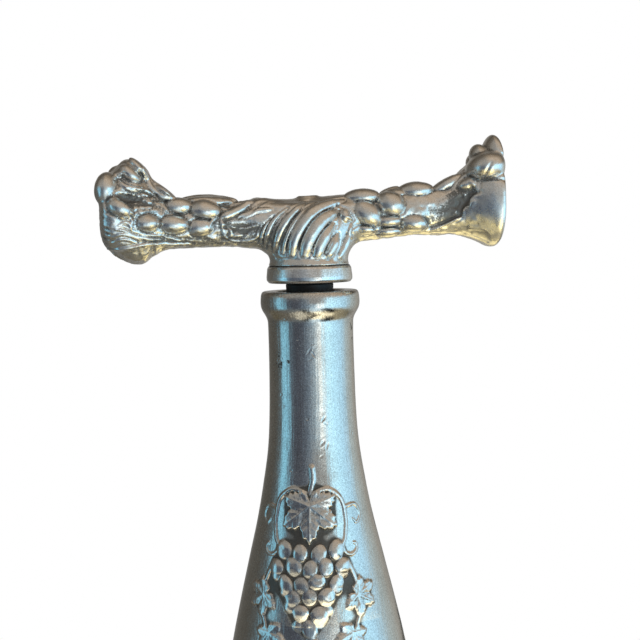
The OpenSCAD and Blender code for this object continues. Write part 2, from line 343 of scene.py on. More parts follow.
# knocks on the neck: place in the frame, half-length and half-width in mm, tilt in degrees (up to the right), depth in mm
DENTS = [(309, 351.5, 1.15, 0.34, 55, 0.15), (313.2, 354.5, 0.95, 0.30, -60, 0.12), (310, 359.5, 0.8, 0.3, 25, 0.1), (306.5, 366, 0.5, 0.3, 0, 0.06), (323.5, 419, 1.0, 0.34, 55, 0.15), (326.2, 423.5, 0.7, 0.3, -25, 0.1),
         (322.6, 443, 1.0, 0.4, 50, 0.15), (327, 446, 0.95, 0.34, 72, 0.12), (321.5, 456.5, 0.8, 0.3, 30, 0.1), (278, 360, 0.34, 0.3, 0, 0.14), (281.8, 358.6, 0.3, 0.3, 0, 0.12), (287, 361, 0.5, 0.25, 0, 0.1), (276.5, 371, 0.3, 0.3, 0, 0.1),
         (300, 421, 0.6, 0.3, 40, 0.06), (335, 402, 0.6, 0.26, -35, 0.06), (296, 388, 0.4, 0.3, 0, 0.05), (331, 376, 0.5, 0.24, 80, 0.05), (272, 305, 0.7, 0.4, 20, 0.08), (279, 300, 0.5, 0.35, -30, 0.07), (284, 306.5, 0.8, 0.3, 10, 0.06), (343, 298, 0.7, 0.3, 0, 0.06)]


def on_sheath(px, py):
    """Angle from the decorated side, in degrees, and depth below the lip of the point seen at a place in the frame."""
    d = ray(px, py)
    for s in np.arange(DIST - 40.0, DIST + 10.0, 0.05):
        p = CAM + d * s
        t = H - p[2]
        if t > 0 and math.hypot(p[0], p[1]) <= float(outer_radius(t)):
            return math.degrees(math.atan2(p[0], -p[1])) - FRONT, t
    return 0.0, -99.0


# worn and spotted places: place in the frame, half-width and half-height in mm, strength
SCUFFS = [(277.0, 341.0, 1.5, 4.2, 0.9), (280.5, 362.0, 2.0, 1.6, 1.4), (286.5, 362.0, 1.4, 1.2, 1.1), (351.5, 331.0, 1.2, 3.2, 1.3), (353.5, 352.0, 0.9, 4.0, 0.8), (276.0, 412.0, 1.2, 5.0, 0.6), (262.0, 520.0, 2.0, 6.0, 0.5)]


def shell_half(name, centre_deg, decorated):
    step = 0.55 if decorated else 0.9
    ncol = int(round(180 / step)) + 1
    phi = np.linspace(-90.0, 90.0, ncol)
    fine = 0.22 if decorated else 1.2
    rows = np.concatenate([np.array([0.0, 0.1, 0.25, 0.45, 0.7, 1.0, 1.4, 1.8, 2.2, 2.6, 3.0, 3.4, 3.9, 4.3, 4.7, 5.1, 5.5, 5.9, 6.3, 6.7, 7.1, 7.6, 8.1]),
                           np.arange(8.8, 43.0, 0.22 if decorated else 0.9), np.arange(43.4, 104.0, fine), np.arange(104.6, H - 6.5, 1.6)])
    r_out = outer_radius(rows)
    foot = np.array([[BODY_R, 5.0], [BODY_R - 0.12, 3.6], [BODY_R - 0.4, 2.2], [BODY_R - 0.75, 1.3], [BODY_R - 1.1, 0.75], [BODY_R - 1.5, 0.52], [BODY_R - 1.8, 0.5]])
    z_out = np.concatenate([H - rows, foot[:, 1]])
    r_all = np.concatenate([r_out, foot[:, 0]])
    t_all = H - z_out
    P, T = np.meshgrid(phi, t_all)                # rows by columns
    R = np.broadcast_to(r_all[:, None], P.shape).copy()
    U = np.radians(P) * R
    relief = np.zeros_like(U)
    if decorated:
        m = (t_all > 43.3) & (t_all < 104.5)
        raw = vine_relief(U[m], T[m])
        # worn: softened edges, high spots rubbed down unevenly
        rub = value_noise(U[m], T[m], T[m] * 0, 5.0, 31) * 0.16 + value_noise(U[m], T[m], T[m] * 0, 1.7, 32) * 0.10
        soft = 0.5 * raw + 0.5 * soft_blur(raw, 1)
        relief[m] = 0.66 * soft * (0.9 + rub) + 0.03 * value_noise(U[m], T[m], T[m] * 0, 0.8, 33) * (soft > 0.05)
    a = np.radians(FRONT + centre_deg + P)
    X0, Y0 = R * np.sin(a), -R * np.cos(a)
    wob = 0.03 * value_noise(X0, Y0, T * 0.55, 6.0, 11) + 0.014 * value_noise(X0, Y0, T, 2.4, 12)
    # the soldered seam: a shallow groove with a little solder standing in places
    gap = (90.0 - np.abs(P)) * math.pi / 180 * R
    bead = 0.10 * value_noise(T * 0.0 + np.sign(P) * 9, T, T * 0, 3.1, 21) + 0.05 * value_noise(T * 0.0 + np.sign(P) * 5, T, T * 0, 1.1, 22)
    seam = (-0.13 + np.clip(bead, -0.1, 0.14)) * np.exp(-(gap / 0.32) ** 2) + 0.05 * np.clip(bead + 0.05, 0, 1) * np.exp(-((gap - 0.9) / 0.5) ** 2)
    cav = np.zeros_like(U)
    if decorated:
        cav = 1.5 * np.clip((soft_blur(relief, 4) - relief) / 0.26, -1, 1) + 1.1 * np.clip((soft_blur(relief, 14) - relief) / 0.5, -0.6, 1)
        cover = soft_blur((relief > 0.08).astype(float), 14)
        cav = np.where(cav > 0, cav * (0.25 + 0.75 * smoothstep(0.38, 0.66, cover)), cav) + 0.5 * smoothstep(0.4, 0.7, cover) * (relief < 0.12)
        cav[~m] = 0
    cav = cav + 0.9 * np.exp(-(gap / 0.35) ** 2) + 0.35 * np.exp(-((T - 8.0) / 1.3) ** 2) + 0.5 * np.exp(-(T / 0.5) ** 2)
    knock = np.zeros_like(U)
    if decorated:
        for px, py, la, wa, tilt, deep in DENTS:
            p0, t0 = on_sheath(px, py)
            r0, c, n = float(outer_radius(t0)), math.cos(math.radians(tilt)), math.sin(math.radians(tilt))
            du, dv = np.radians(P - p0) * r0, T - t0
            q = ((du * c - dv * n) / (0.75 * la)) ** 2 + ((du * n + dv * c) / (0.8 * wa)) ** 2
            knock -= 0.45 * deep * np.exp(-q) - 0.12 * deep * np.exp(-(np.sqrt(q) - 1.8) ** 2 / 0.3)
        cav = cav + np.clip(-knock / 0.16, -0.6, 0.9) * (T < 45)
        spots = 0.8 * value_noise(U, T, T * 0, 0.5, 41) + 0.7 * value_noise(U, T, T * 0, 1.2, 42)
        for px, py, wu, wt, much in SCUFFS:
            p0, t0 = on_sheath(px, py)
            cav = cav + much * np.exp(-(np.radians(P - p0) * R / wu) ** 2 - ((T - t0) / wt) ** 2) * np.clip(1.6 * spots, -0.7, 1.3)
    RR = R + relief + wob + seam + knock
    X, Y = RR * np.sin(a), -RR * np.cos(a)
    Z = np.broadcast_to(z_out[:, None], P.shape)
    outer = np.stack([X, Y, Z], -1).reshape(-1, 3)
    inner_rz = [[BORE + 2.1, H + 0.0], [BORE + 1.2, H + 0.02], [BORE + 0.5, H - 0.06], [BORE + 0.12, H - 0.3], [BORE, H - 0.7], [BORE, H - 22.97], [BORE - 0.6, H - 23.0], [BORE - 0.6, H - 24.5], [BORE, H - 27.0]]
    inner_rz += [[max(BORE, float(outer_radius(t)) - WALL), H - t] for t in np.arange(30, H - 12, 4.0)]
    inner_rz += [[BODY_R - WALL, 9.0], [23.6, 6.5], [23.6, 3.72], [24.6, 3.68], [24.6, 0.8], [24.75, 0.58]]
    inn = np.array(inner_rz)
    ai = np.radians(FRONT + centre_deg + phi)
    inner = np.stack([inn[:, 0:1] * np.sin(ai), -inn[:, 0:1] * np.cos(ai), np.broadcast_to(inn[:, 1:2], (len(inn), ncol))], -1).reshape(-1, 3)
    no, ni = len(t_all), len(inn)
    off = no * ncol
    i, j = np.meshgrid(np.arange(no - 1), np.arange(ncol - 1), indexing="ij")
    fo = np.stack([i * ncol + j, (i + 1) * ncol + j, (i + 1) * ncol + j + 1, i * ncol + j + 1], -1).reshape(-1, 4)
    i, j = np.meshgrid(np.arange(ni - 1), np.arange(ncol - 1), indexing="ij")
    fi = off + np.stack([i * ncol + j, i * ncol + j + 1, (i + 1) * ncol + j + 1, (i + 1) * ncol + j], -1).reshape(-1, 4)
    j = np.arange(ncol - 1)
    top = np.stack([j, j + 1, off + j + 1, off + j], -1)
    lo, li = (no - 1) * ncol, off + (ni - 1) * ncol
    bot = np.stack([lo + j, li + j, li + j + 1, lo + j + 1], -1)
    e0 = joined_strip(np.arange(no) * ncol, off + np.arange(ni) * ncol, z_out, inn[:, 1])
    e1 = joined_strip(np.arange(no) * ncol + ncol - 1, off + np.arange(ni) * ncol + ncol - 1, z_out, inn[:, 1])
    verts = np.vstack([outer, inner])
    cav_all = np.concatenate([cav.ravel(), np.full(ni * ncol, 0.35)])
    inside = np.concatenate([np.zeros(off), np.repeat(smoothstep(H - 0.2, H - 1.2, inn[:, 1]), ncol)])
    ob = new_mesh(name, verts, [np.vstack([fo, fi, top, bot]), np.vstack([e0[:, ::-1], e1])], {"cav": cav_all, "inside": inside}, sharp=60.0)
    return ob


# --------------------------------------------------------------------------
# handle: sculpted as a distance field on a grid, then meshed
# --------------------------------------------------------------------------
class Clay:
    """A solid as a signed distance on a grid, in mm: negative inside."""

    def __init__(self, lo, hi, step):
        self.h = step
        self.lo = np.array(lo, float)
        self.ax = [np.arange(lo[k], hi[k] + step, step, dtype=np.float32) for k in range(3)]
        self.d = np.full([len(a) for a in self.ax], 50.0, np.float32)

    def grid(self, win=None):
        a = self.ax if win is None else [self.ax[k][win[k]] for k in range(3)]
        return a[0][:, None, None], a[1][None, :, None], a[2][None, None, :]

    def window(self, lo, hi):
        out = []
        for k in range(3):
            i = int(np.clip(math.floor((lo[k] - self.lo[k]) / self.h), 0, len(self.ax[k]) - 1))
            j = int(np.clip(math.ceil((hi[k] - self.lo[k]) / self.h) + 1, i + 1, len(self.ax[k])))
            out.append(slice(i, j))
        return tuple(out)

    def sample(self, p, field=None):
        f = self.d if field is None else field
        q = (np.asarray(p, float) - self.lo) / self.h
        n = np.array(f.shape)
        q = np.clip(q, 0, n - 1.001)
        i = np.floor(q).astype(int)
        t = q - i
        out = 0.0
        for dx in (0, 1):
            for dy in (0, 1):
                for dz in (0, 1):
                    w = (t[..., 0] if dx else 1 - t[..., 0]) * (t[..., 1] if dy else 1 - t[..., 1]) * (t[..., 2] if dz else 1 - t[..., 2])
                    out = out + w * f[i[..., 0] + dx, i[..., 1] + dy, i[..., 2] + dz]
        return out

    def normal(self, p):
        e = 0.6
        g = np.array([self.sample(np.asarray(p) + np.eye(3)[k] * e) - self.sample(np.asarray(p) - np.eye(3)[k] * e) for k in range(3)])
        return g / max(np.linalg.norm(g), 1e-9)

    def hit(self, px, py):
        """The point of the surface that is seen at a place in the photograph's frame."""
        d = ray(px, py)
        s = np.arange(DIST - 45.0, DIST + 45.0, 0.12)
        p = CAM + d * s[:, None]
        v = self.sample(p)
        k = np.nonzero(v < 0)[0]
        if len(k) == 0:
            return CAM - d * (CAM[1] / d[1])      # past the outline: in the middle plane of the bar
        k = int(k[0])
        if k == 0:
            return p[0]
        t = v[k - 1] / max(v[k - 1] - v[k], 1e-9)
        return p[k - 1] + (p[k] - p[k - 1]) * t

    def add(self, win, e, k, groove, width):
        d = self.d[win]
        if groove:
            d = d + groove * np.exp(-(e / width) ** 2)
        if k > 0:
            m = np.clip(k - np.abs(d - e), 0, None) / k
            d = np.minimum(d, e) - m * m * k * 0.25
        else:
            d = np.minimum(d, e)
        self.d[win] = d

    def ellipsoid(self, c, axes, radii, k=0.12, groove=0.4, width=0.55):
        rmax = max(radii) + 3 * width
        win = self.window(c - rmax, c + rmax)
        x, y, z = self.grid(win)
        q = [(x - c[0]) * a[0] + (y - c[1]) * a[1] + (z - c[2]) * a[2] for a in axes]
        k0 = np.sqrt(sum((q[i] / radii[i]) ** 2 for i in range(3)))
        k1 = np.sqrt(sum((q[i] / radii[i] ** 2) ** 2 for i in range(3)))
        self.add(win, (k0 * (k0 - 1) / np.maximum(k1, 1e-6)).astype(np.float32), k, groove, width)

    def hollow(self, c, axes, radii, k):
        """Takes an ellipsoid out of the solid, with a soft edge."""
        win = self.window(c - max(radii) - 2 * k, c + max(radii) + 2 * k)
        x, y, z = self.grid(win)
        q = [(x - c[0]) * a[0] + (y - c[1]) * a[1] + (z - c[2]) * a[2] for a in axes]
        k0 = np.sqrt(sum((q[i] / radii[i]) ** 2 for i in range(3)))
        k1 = np.sqrt(sum((q[i] / radii[i] ** 2) ** 2 for i in range(3)))
        e = -(k0 * (k0 - 1) / np.maximum(k1, 1e-6))
        d = self.d[win]
        m = np.clip(k - np.abs(d - e), 0, None) / k
        self.d[win] = np.maximum(d, e) + m * m * k * 0.25

    def line_distance(self, pts, radii, reach):
        lo, hi = pts.min(0) - reach, pts.max(0) + reach
        win = self.window(lo, hi)
        x, y, z = self.grid(win)
        best = np.full(np.broadcast_shapes(x.shape, y.shape, z.shape), 1e3, np.float32)
        for i in range(len(pts) - 1):
            a, b = pts[i], pts[i + 1] - pts[i]
            sub = self.window(np.minimum(pts[i], pts[i + 1]) - reach, np.maximum(pts[i], pts[i + 1]) + reach)
            loc = tuple(slice(sub[m].start - win[m].start, sub[m].stop - win[m].start) for m in range(3))
            xs, ys, zs = self.grid(sub)
            t = np.clip(((xs - a[0]) * b[0] + (ys - a[1]) * b[1] + (zs - a[2]) * b[2]) / max(b @ b, 1e-9), 0, 1)
            dd = np.sqrt((xs - a[0] - t * b[0]) ** 2 + (ys - a[1] - t * b[1]) ** 2 + (zs - a[2] - t * b[2]) ** 2)
            dd = dd - (radii[i] + (radii[i + 1] - radii[i]) * t)
            best[loc] = np.minimum(best[loc], dd)
        return win, best

    def tube(self, pts, radii, k=0.25, groove=0.3, width=0.5):
        win, e = self.line_distance(pts, radii, max(radii) + 3 * width)
        self.add(win, e, k, groove, width)

    def scratch(self, pts, depth, width):
        """A groove along a line; a negative depth raises a soft line."""
        win, e = self.line_distance(pts, np.zeros(len(pts)), 3 * width)
        self.d[win] += depth * np.exp(-(e / width) ** 2)

    def mesh(self):
        """Vertices and quads of the zero surface, one vertex per grid cell that it passes through."""
        d, h = self.d, self.h
        s = d < 0
        n = np.array(d.shape) - 1
        c = [s[i:n[0] + i, j:n[1] + j, k:n[2] + k] for i in (0, 1) for j in (0, 1) for k in (0, 1)]
        total = sum(a.astype(np.int8) for a in c)
        cells = np.argwhere((total > 0) & (total < 8))
        idx = np.full(n, -1, np.int32)
        idx[cells[:, 0], cells[:, 1], cells[:, 2]] = np.arange(len(cells))
        val = {(i, j, k): d[cells[:, 0] + i, cells[:, 1] + j, cells[:, 2] + k] for i in (0, 1) for j in (0, 1) for k in (0, 1)}
        acc, cnt = np.zeros((len(cells), 3)), np.zeros(len(cells))
        for a in val:
            for m in range(3):
                if a[m] == 0:
                    b = tuple(1 if q == m else a[q] for q in range(3))
                    va, vb = val[a], val[b]
                    cross = (va < 0) != (vb < 0)
                    t = np.where(cross, va / np.where(cross, va - vb, 1), 0)
                    p = np.tile(np.array(a, float), (len(cells), 1))
                    p[:, m] += t
                    acc += np.where(cross[:, None], p, 0)
                    cnt += cross
        v = self.lo + (cells + acc / cnt[:, None]) * h
        quads = []
        for m in range(3):
            o1, o2 = [q for q in range(3) if q != m]
            sl0 = [slice(1, n[q]) for q in range(3)]
            sl0[m] = slice(0, n[m])
            sl1 = list(sl0)
            sl1[m] = slice(1, n[m] + 1)
            a, b = s[tuple(sl0)], s[tuple(sl1)]
            for flip, where in ((False, a & ~b), (True, ~a & b)):
                e = np.argwhere(where)
                e[:, o1] += 1
                e[:, o2] += 1
                def at(u1, u2):
                    g = e.copy()
                    g[:, o1] -= u1
                    g[:, o2] -= u2
                    return idx[g[:, 0], g[:, 1], g[:, 2]]
                q = np.stack([at(1, 1), at(0, 1), at(0, 0), at(1, 0)], -1)
                if flip != (m == 1):
                    q = q[:, ::-1]
                quads.append(q)
        return v, np.vstack(quads)


#        x, top, bottom, half depth; heights are above the lip
BAR = np.array([
    [-54.5, 24.6, 19.0, 5.8], [-54.0, 26.8, 15.8, 8.9], [-53.0, 28.6, 13.3, 11.0], [-51.4, 30.0, 11.3, 11.8], [-49.8, 31.2, 10.0, 11.7],
    [-47.2, 32.3, 8.6, 11.1], [-45.2, 32.4, 8.1, 10.4], [-43.0, 31.0, 8.3, 9.6], [-41.0, 28.9, 9.7, 8.6], [-38.5, 26.8, 11.3, 7.5],
    [-36.0, 25.3, 11.8, 6.7], [-34.0, 24.4, 11.9, 6.2], [-29.0, 24.1, 12.0, 5.8], [-22.0, 23.9, 12.1, 5.6], [-17.5, 23.8, 11.7, 5.7],
    [-13.0, 24.6, 11.2, 6.2], [-8.0, 24.1, 10.4, 6.8], [0.0, 24.2, 10.0, 7.2], [8.0, 24.9, 10.8, 6.8], [13.5, 25.2, 12.5, 6.0],
    [18.5, 25.0, 12.9, 5.6], [23.4, 25.4, 13.5, 5.6], [28.3, 25.8, 13.8, 5.7], [33.3, 26.0, 13.7, 5.8], [36.0, 26.8, 13.6, 6.0],
    [38.3, 27.9, 13.7, 6.5], [40.8, 29.8, 13.4, 7.5], [43.0, 31.8, 12.8, 8.8], [45.0, 33.4, 12.1, 10.1], [47.0, 34.6, 11.2, 11.2],
    [48.6, 35.0, 10.4, 11.8], [49.9, 35.0, 10.2, 12.0], [50.8, 34.4, 10.8, 11.7], [51.5, 33.0, 12.3, 10.7], [52.0, 30.6, 14.2, 8.6], [52.4, 27.2, 19.0, 5.4]])
#         height above the lip, half-width along the bar, half-depth
HUB = np.array([[5.0, 10.6, 10.6], [6.7, 10.6, 10.6], [7.4, 10.4, 10.4], [8.2, 10.3, 10.3], [9.2, 10.4, 10.3], [10.4, 10.7, 10.3], [13.0, 11.2, 10.3],
                [16.0, 11.4, 10.1], [19.0, 10.6, 9.3], [21.3, 8.7, 7.6], [22.3, 6.4, 5.7], [22.9, 3.6, 3.3], [23.1, 1.5, 1.4]])


def smooth_min(a, b, k):
    m = np.clip(k - np.abs(a - b), 0, None) / k
    return np.minimum(a, b) - m * m * k * 0.25


def base_handle(clay):
    x, y, z = clay.grid()
    bx = np.clip(clay.ax[0], BAR[0, 0], BAR[-1, 0])
    top, bot, hy = (hermite(BAR[:, [0, k]], bx)[:, None, None].astype(np.float32) for k in (1, 2, 3))
    zc, hz = H + (top + bot) / 2, (top - bot) / 2
    n = 2.2
    f = ((np.abs(y) / hy) ** n + (np.abs(z - zc) / hz) ** n) ** (1 / n) - 1
    g = np.gradient(f, clay.h)
    bar = f / np.maximum(np.sqrt(g[0] ** 2 + g[1] ** 2 + g[2] ** 2), 0.03)
    # cut ends with a softened rim; the left one has a shallow dish
    cap = -smooth_min(-(x - 51.6), x + 54.2, 0.8) + 0 * bar
    bar = -smooth_min(-bar, -cap, 1.4)
    dish = -54.2 + 0.9 * np.exp(-(y / 5.0) ** 2 - ((z - H - 21.0) / 6.0) ** 2)
    bar = -smooth_min(-bar, x - dish, 0.8)
    zz = clay.ax[2] - H
    rx, ry = (hermite(HUB[:, [0, k]], np.clip(zz, HUB[0, 0], HUB[-1, 0]))[None, None, :].astype(np.float32) for k in (1, 2))
    slope = np.abs(np.gradient(rx, clay.h, axis=2))
    hub = (np.sqrt((x / rx) ** 2 + (y / ry) ** 2) - 1) * np.minimum(rx, ry) / np.sqrt(1 + np.minimum(slope, 3.0) ** 2)
    hub = np.maximum(hub, np.sqrt(x ** 2 + y ** 2) - 12.5)
    hub = np.maximum(hub, np.maximum(H + 6.72 - z, z - H - 24.0))
    d = smooth_min(bar, hub, 3.0)
    spigot = np.maximum(np.sqrt(x ** 2 + y ** 2) - 6.95, np.abs(z - H - 5.2) - 3.0)
    clay.d = np.minimum(d, spigot).astype(np.float32)


def mirrored(p, turn):
    """To the handle's back: turned half a turn about the hub, or reflected front to back."""
    return p * np.array([-1.0, -1.0, 1.0]) if turn else p * np.array([1.0, -1.0, 1.0])


# rounded forms: place in the frame, half-length and half-height there, tilt (up to the right), then depth and how far behind the surface, both mm;
# the large ones end with how softly they join and how deep the crease is
LOBES = [
    (106.8, 189.6, 12.4, 17.6, -5, 5.2, 2.0, 0.8, 0.10), (116, 172.5, 8.0, 4.6, 38, 5.0, 3.4, 1.5, 0.0), (134.4, 172.5, 16.5, 10.6, -36, 6.6, 3.4, 1.4, 0.0), (160, 191.5, 15, 4.0, -36, 5.0, 4.0, 2.0, 0.0), (457.5, 183, 13, 4.0, 36, 4.2, 4.0, 1.6, 0.0),
    (479.6, 157.6, 10.4, 13.6, 20, 4.2, 0.0, 0.9, 0.05), (495.4, 152.6, 14.4, 20.0, -6, 6.2, 0.4, 0.6, 0.08), (487.5, 167.4, 22.0, 16.0, 10, 7.0, 3.1, 0.7, 0.14)]
GRAPES = [
    (208, 201.4, 23, 5.4, 0, 3.4, 2.2), (175.6, 207.4, 15.2, 8.5, 3, 3.6, 1.9), (204, 211.2, 15.8, 9.8, -4, 3.9, 2.0), (198.6, 227.2, 12.8, 8.0, 5, 2.9, 1.8),
    (170.4, 224.6, 16.2, 8.9, -3, 3.6, 1.9), (146.2, 223.4, 12.2, 8.8, 3, 3.4, 1.6), (119.8, 208.0, 13.8, 9.8, -28, 4.0, 1.6),
    (394, 193.0, 10.5, 4.4, 10, 3.0, 2.8), (361.6, 197.8, 15.9, 7.4, 3, 3.9, 2.3), (366, 213.8, 14.8, 10.9, -30, 3.8, 2.0), (415.4, 191.6, 15.9, 8.0, 4, 3.9, 2.3),
    (388, 221.6, 12, 5.8, 5, 2.8, 1.5), (365.5, 229.2, 8.6, 4.6, -4, 2.4, 1.3), (387, 231.6, 13.2, 5.6, 4, 3.2, 1.6), (390.3, 204.8, 14.3, 11.5, -18, 4.2, 2.1),
    (413, 223, 13.6, 8.1, -2, 3.5, 1.8), (447, 185.2, 18.0, 6.2, 29, 3.2, 1.6), (469.5, 184.7, 10.8, 6.6, 10, 2.9, 1.6)]
# lobes behind the right end: centre and radii in mm, heights above the lip
BACK_LOBES = [(48.8, 5.4, 33.0, 3.8, 4.0, 3.2), (49.8, 8.0, 29.8, 4.0, 3.8, 3.6), (45.4, 7.2, 28.0, 3.6, 3.0, 2.8), (50.4, 3.4, 35.0, 3.4, 3.4, 3.0)]
# forms that lie on the ones above
FOLDS = [(130.4, 174.4, 13.6, 7.6, -40, 3.8, 1.8), (138.4, 167.4, 13.0, 4.8, -46, 3.0, 1.7), (344.6, 216.4, 6.4, 8.4, 8, 2.6, 1.4)]
# hollows: as above, with the centre in front of the surface
HOLLOWS = [(138, 199.5, 21, 8.6, -14, 3.0, 1.9), (463, 202.5, 8.0, 6.4, 48, 1.4, 0.8), (246, 230, 15, 8.0, 0, 1.5, 1.0), (234, 204.5, 10.5, 3.4, 8, 1.6, 1.1)]

# strands around the hub: route in the frame, half-width in mm at the start, middle and end
CORDS = [
    ([(260.5, 243.5), (262.5, 233.5), (267, 224.5), (273.5, 216.5)], 0.42, 0.52, 0.32),
    ([(265, 247.5), (267, 235), (271.5, 224), (278.5, 215), (287, 207.5)], 0.55, 0.7, 0.42),
    ([(274, 252.5), (276.5, 241), (281.5, 228.5), (289, 217), (298, 208), (308, 201)], 0.85, 1.1, 0.8),
    ([(282.5, 253), (285.5, 241.5), (291, 229), (298.5, 218), (308.5, 208.5), (321, 201.5)], 0.62, 0.76, 0.6),
    ([(291, 253.5), (293.6, 243), (298.5, 231), (306.4, 219), (317, 209.6), (330, 203.2), (344, 199.4)], 1.45, 1.8, 1.25),
    ([(304.5, 253.5), (308.3, 241.5), (314.8, 229.5), (323, 219.5), (332, 213.5), (339, 211.5)], 1.7, 2.0, 1.3),
    ([(317.5, 254.5), (321.3, 244), (327.2, 233), (334.5, 224)], 1.55, 1.7, 1.0),
    ([(329.3, 254.5), (334, 245), (339, 234)], 1.35, 1.5, 0.9),
    ([(340.5, 256), (344.5, 247.5), (348.6, 237), (350.5, 230)], 1.1, 1.25, 0.75)]

# raised lines: route, half-width mm, sunk mm
RIDGES = [
    ([(142.6, 169.5), (146.6, 179), (151, 188), (159, 195), (167, 197.2), (174, 198.4)], 0.85, 0.4), ([(118, 181), (124, 186), (131, 188.4), (138, 189.6), (145, 189.6)], 0.7, 0.25), ([(146, 189.5), (152, 193.5), (158, 198.5)], 0.4, 0.2),
    ([(119, 216), (124, 219.5), (130, 218), (131.5, 222.5), (129.5, 228)], 0.45, 0.15), ([(121, 223.5), (127, 222.5), (130.5, 226.5), (131, 231)], 0.42, 0.15), ([(131, 212), (133.5, 215.5), (136.5, 213.5)], 0.4, 0.12),
    ([(108.5, 248.8), (120, 249), (133, 247), (147, 244.2), (165, 243.4), (190, 243.2)], 0.6, 0.2),
    ([(112, 243), (120, 239.5), (129, 239.8), (136, 243)], 0.4, 0.18), ([(113, 237), (122, 234), (132, 236.5), (142, 240.5)], 0.4, 0.2), ([(115, 229.5), (124, 230.5), (134, 235.5), (148, 239), (162, 239.5)], 0.4, 0.2),
    ([(118, 225), (126, 227), (134, 231.5), (150, 235), (166, 236)], 0.35, 0.18), ([(163, 236), (172, 238.5), (180, 240.5)], 0.35, 0.12),
    ([(431, 230.2), (446, 223.8), (461.5, 217)], 0.35, 0.2),
    ([(221, 217.5), (231, 214), (240, 209.5), (246, 205.5), (251, 202.8)], 1.05, 0.4), ([(238, 217.5), (248, 215), (256, 211.5), (264, 210.3), (272, 209.5)], 0.75, 0.3),
    ([(221, 219), (222.5, 226), (224, 233), (226.5, 238)], 0.6, 0.2), ([(226.5, 239), (236, 240.6), (247, 240.4), (256, 237), (259, 229)], 0.5, 0.2),
    ([(228, 225.5), (237, 228.0), (248, 227.2), (258, 224.5)], 0.36, 0.2), ([(233, 236.4), (241, 234.6), (250, 235.2)], 0.3, 0.24), ([(223, 229), (226.5, 231.5), (225, 235.5), (228.5, 238.5)], 0.42, 0.1), ([(229.5, 229), (231.5, 233), (229.8, 236.5)], 0.36, 0.1),
    ([(209, 229), (210.5, 223), (214, 219), (219, 216.8)], 0.45, 0.15), ([(345.5, 216.5), (349, 217.3), (352.3, 221.5)], 0.4, 0.1), ([(352, 224), (349, 232), (352, 238)], 0.55, 0.2)]

# cut lines: route, depth and width in mm; a negative depth raises the line
CUTS = [
    ([(460.5, 215.0), (459.6, 210.5), (463, 206.5), (466, 203), (468.8, 199.3), (468.2, 195), (472, 193)], 0.8, 0.5), ([(457, 207), (458.5, 203), (457.5, 199.5), (461.5, 196.5)], 0.45, 0.45), ([(472, 193), (478.5, 192), (480.2, 184.5), (482.2, 180), (494, 179), (505, 180)], 0.5, 0.42),
    ([(427.5, 229.6), (444, 222.6), (460.5, 215.2)], 0.7, 0.4), ([(140.2, 171.0), (141.6, 176), (142.0, 180)], 0.6, 0.36), ([(116, 194.5), (130, 196.5), (146, 199.5), (157, 201)], 0.3, 0.3), ([(119, 199.6), (132, 200.5), (147, 203)], 0.3, 0.3),
    ([(121, 190), (136, 193.5), (150, 197.6)], 0.32, 0.3), ([(131, 188.2), (143, 191.8), (153, 196.2)], 0.3, 0.3), ([(131, 204.6), (143, 205.4), (153, 206)], 0.3, 0.3), ([(136, 210.5), (146, 209), (156, 208)], 0.28, 0.3), ([(141, 187), (149, 190.4), (156, 195)], 0.28, 0.28),
    ([(491.5, 162.5), (489.5, 166), (486.8, 171.5), (484, 177)], 0.38, 0.36), ([(338, 205.5), (343.5, 207.5), (350, 212.5), (354, 219.5)], 0.55, 0.42), ([(338.6, 214), (338.8, 222), (336.5, 232), (332.5, 241), (327.5, 251)], 0.35, 0.3),
    ([(240, 217.8), (250, 213), (258, 206), (266, 201)], 0.32, 0.35), ([(250, 208.5), (256, 205), (262, 201)], 0.35, 0.32), ([(224.5, 227), (226, 232), (227.5, 236.5)], 0.6, 0.42),
    ([(168, 236.6), (190, 239), (215, 240), (245, 243)], 0.14, 0.4), ([(150, 241.6), (180, 242.4), (220, 243.6), (252, 246)], 0.1, 0.35), ([(374, 227.5), (384, 227), (398.5, 227.5)], 0.45, 0.4), ([(353, 228), (358, 225), (363, 224.6), (373, 225.6)], 0.4, 0.36),
    ([(470, 228), (484, 229), (490, 234), (493, 241)], -0.22, 0.7), ([(465, 233), (477, 238), (487, 242)], 0.16, 0.5), ([(276, 258.5), (292, 259.5), (312, 259.5), (332, 259)], 0.3, 0.4)]
# edges of an upper layer: route, then drop and how far it fades out, in mm; the lower ground is on the right when travelling
LEDGES = [([(479.5, 191), (469.5, 199.5), (463, 207.0), (461, 215), (445, 222.5), (428, 229.8)], 0.6, 5.5),
          ([(105, 251.0), (122, 250.5), (138, 247.5), (156, 245.5)], 0.5, 3.0)]
# crumpled ground: place, half-length, half-height, tilt, height in mm
CRUMPLED = [(140, 199, 20, 8.5, -14, 0.34), (106, 228, 6, 18, 0, 0.10), (462, 203, 11, 8, 45, 0.17), (241, 231, 18, 8, 0, 0.14), (222, 228, 6, 11, 0, 0.2), (268, 238, 9, 14, 60, 0.12), (474, 189, 10, 6, 20, 0.16), (195, 240, 58, 6, 0, 0.16)]
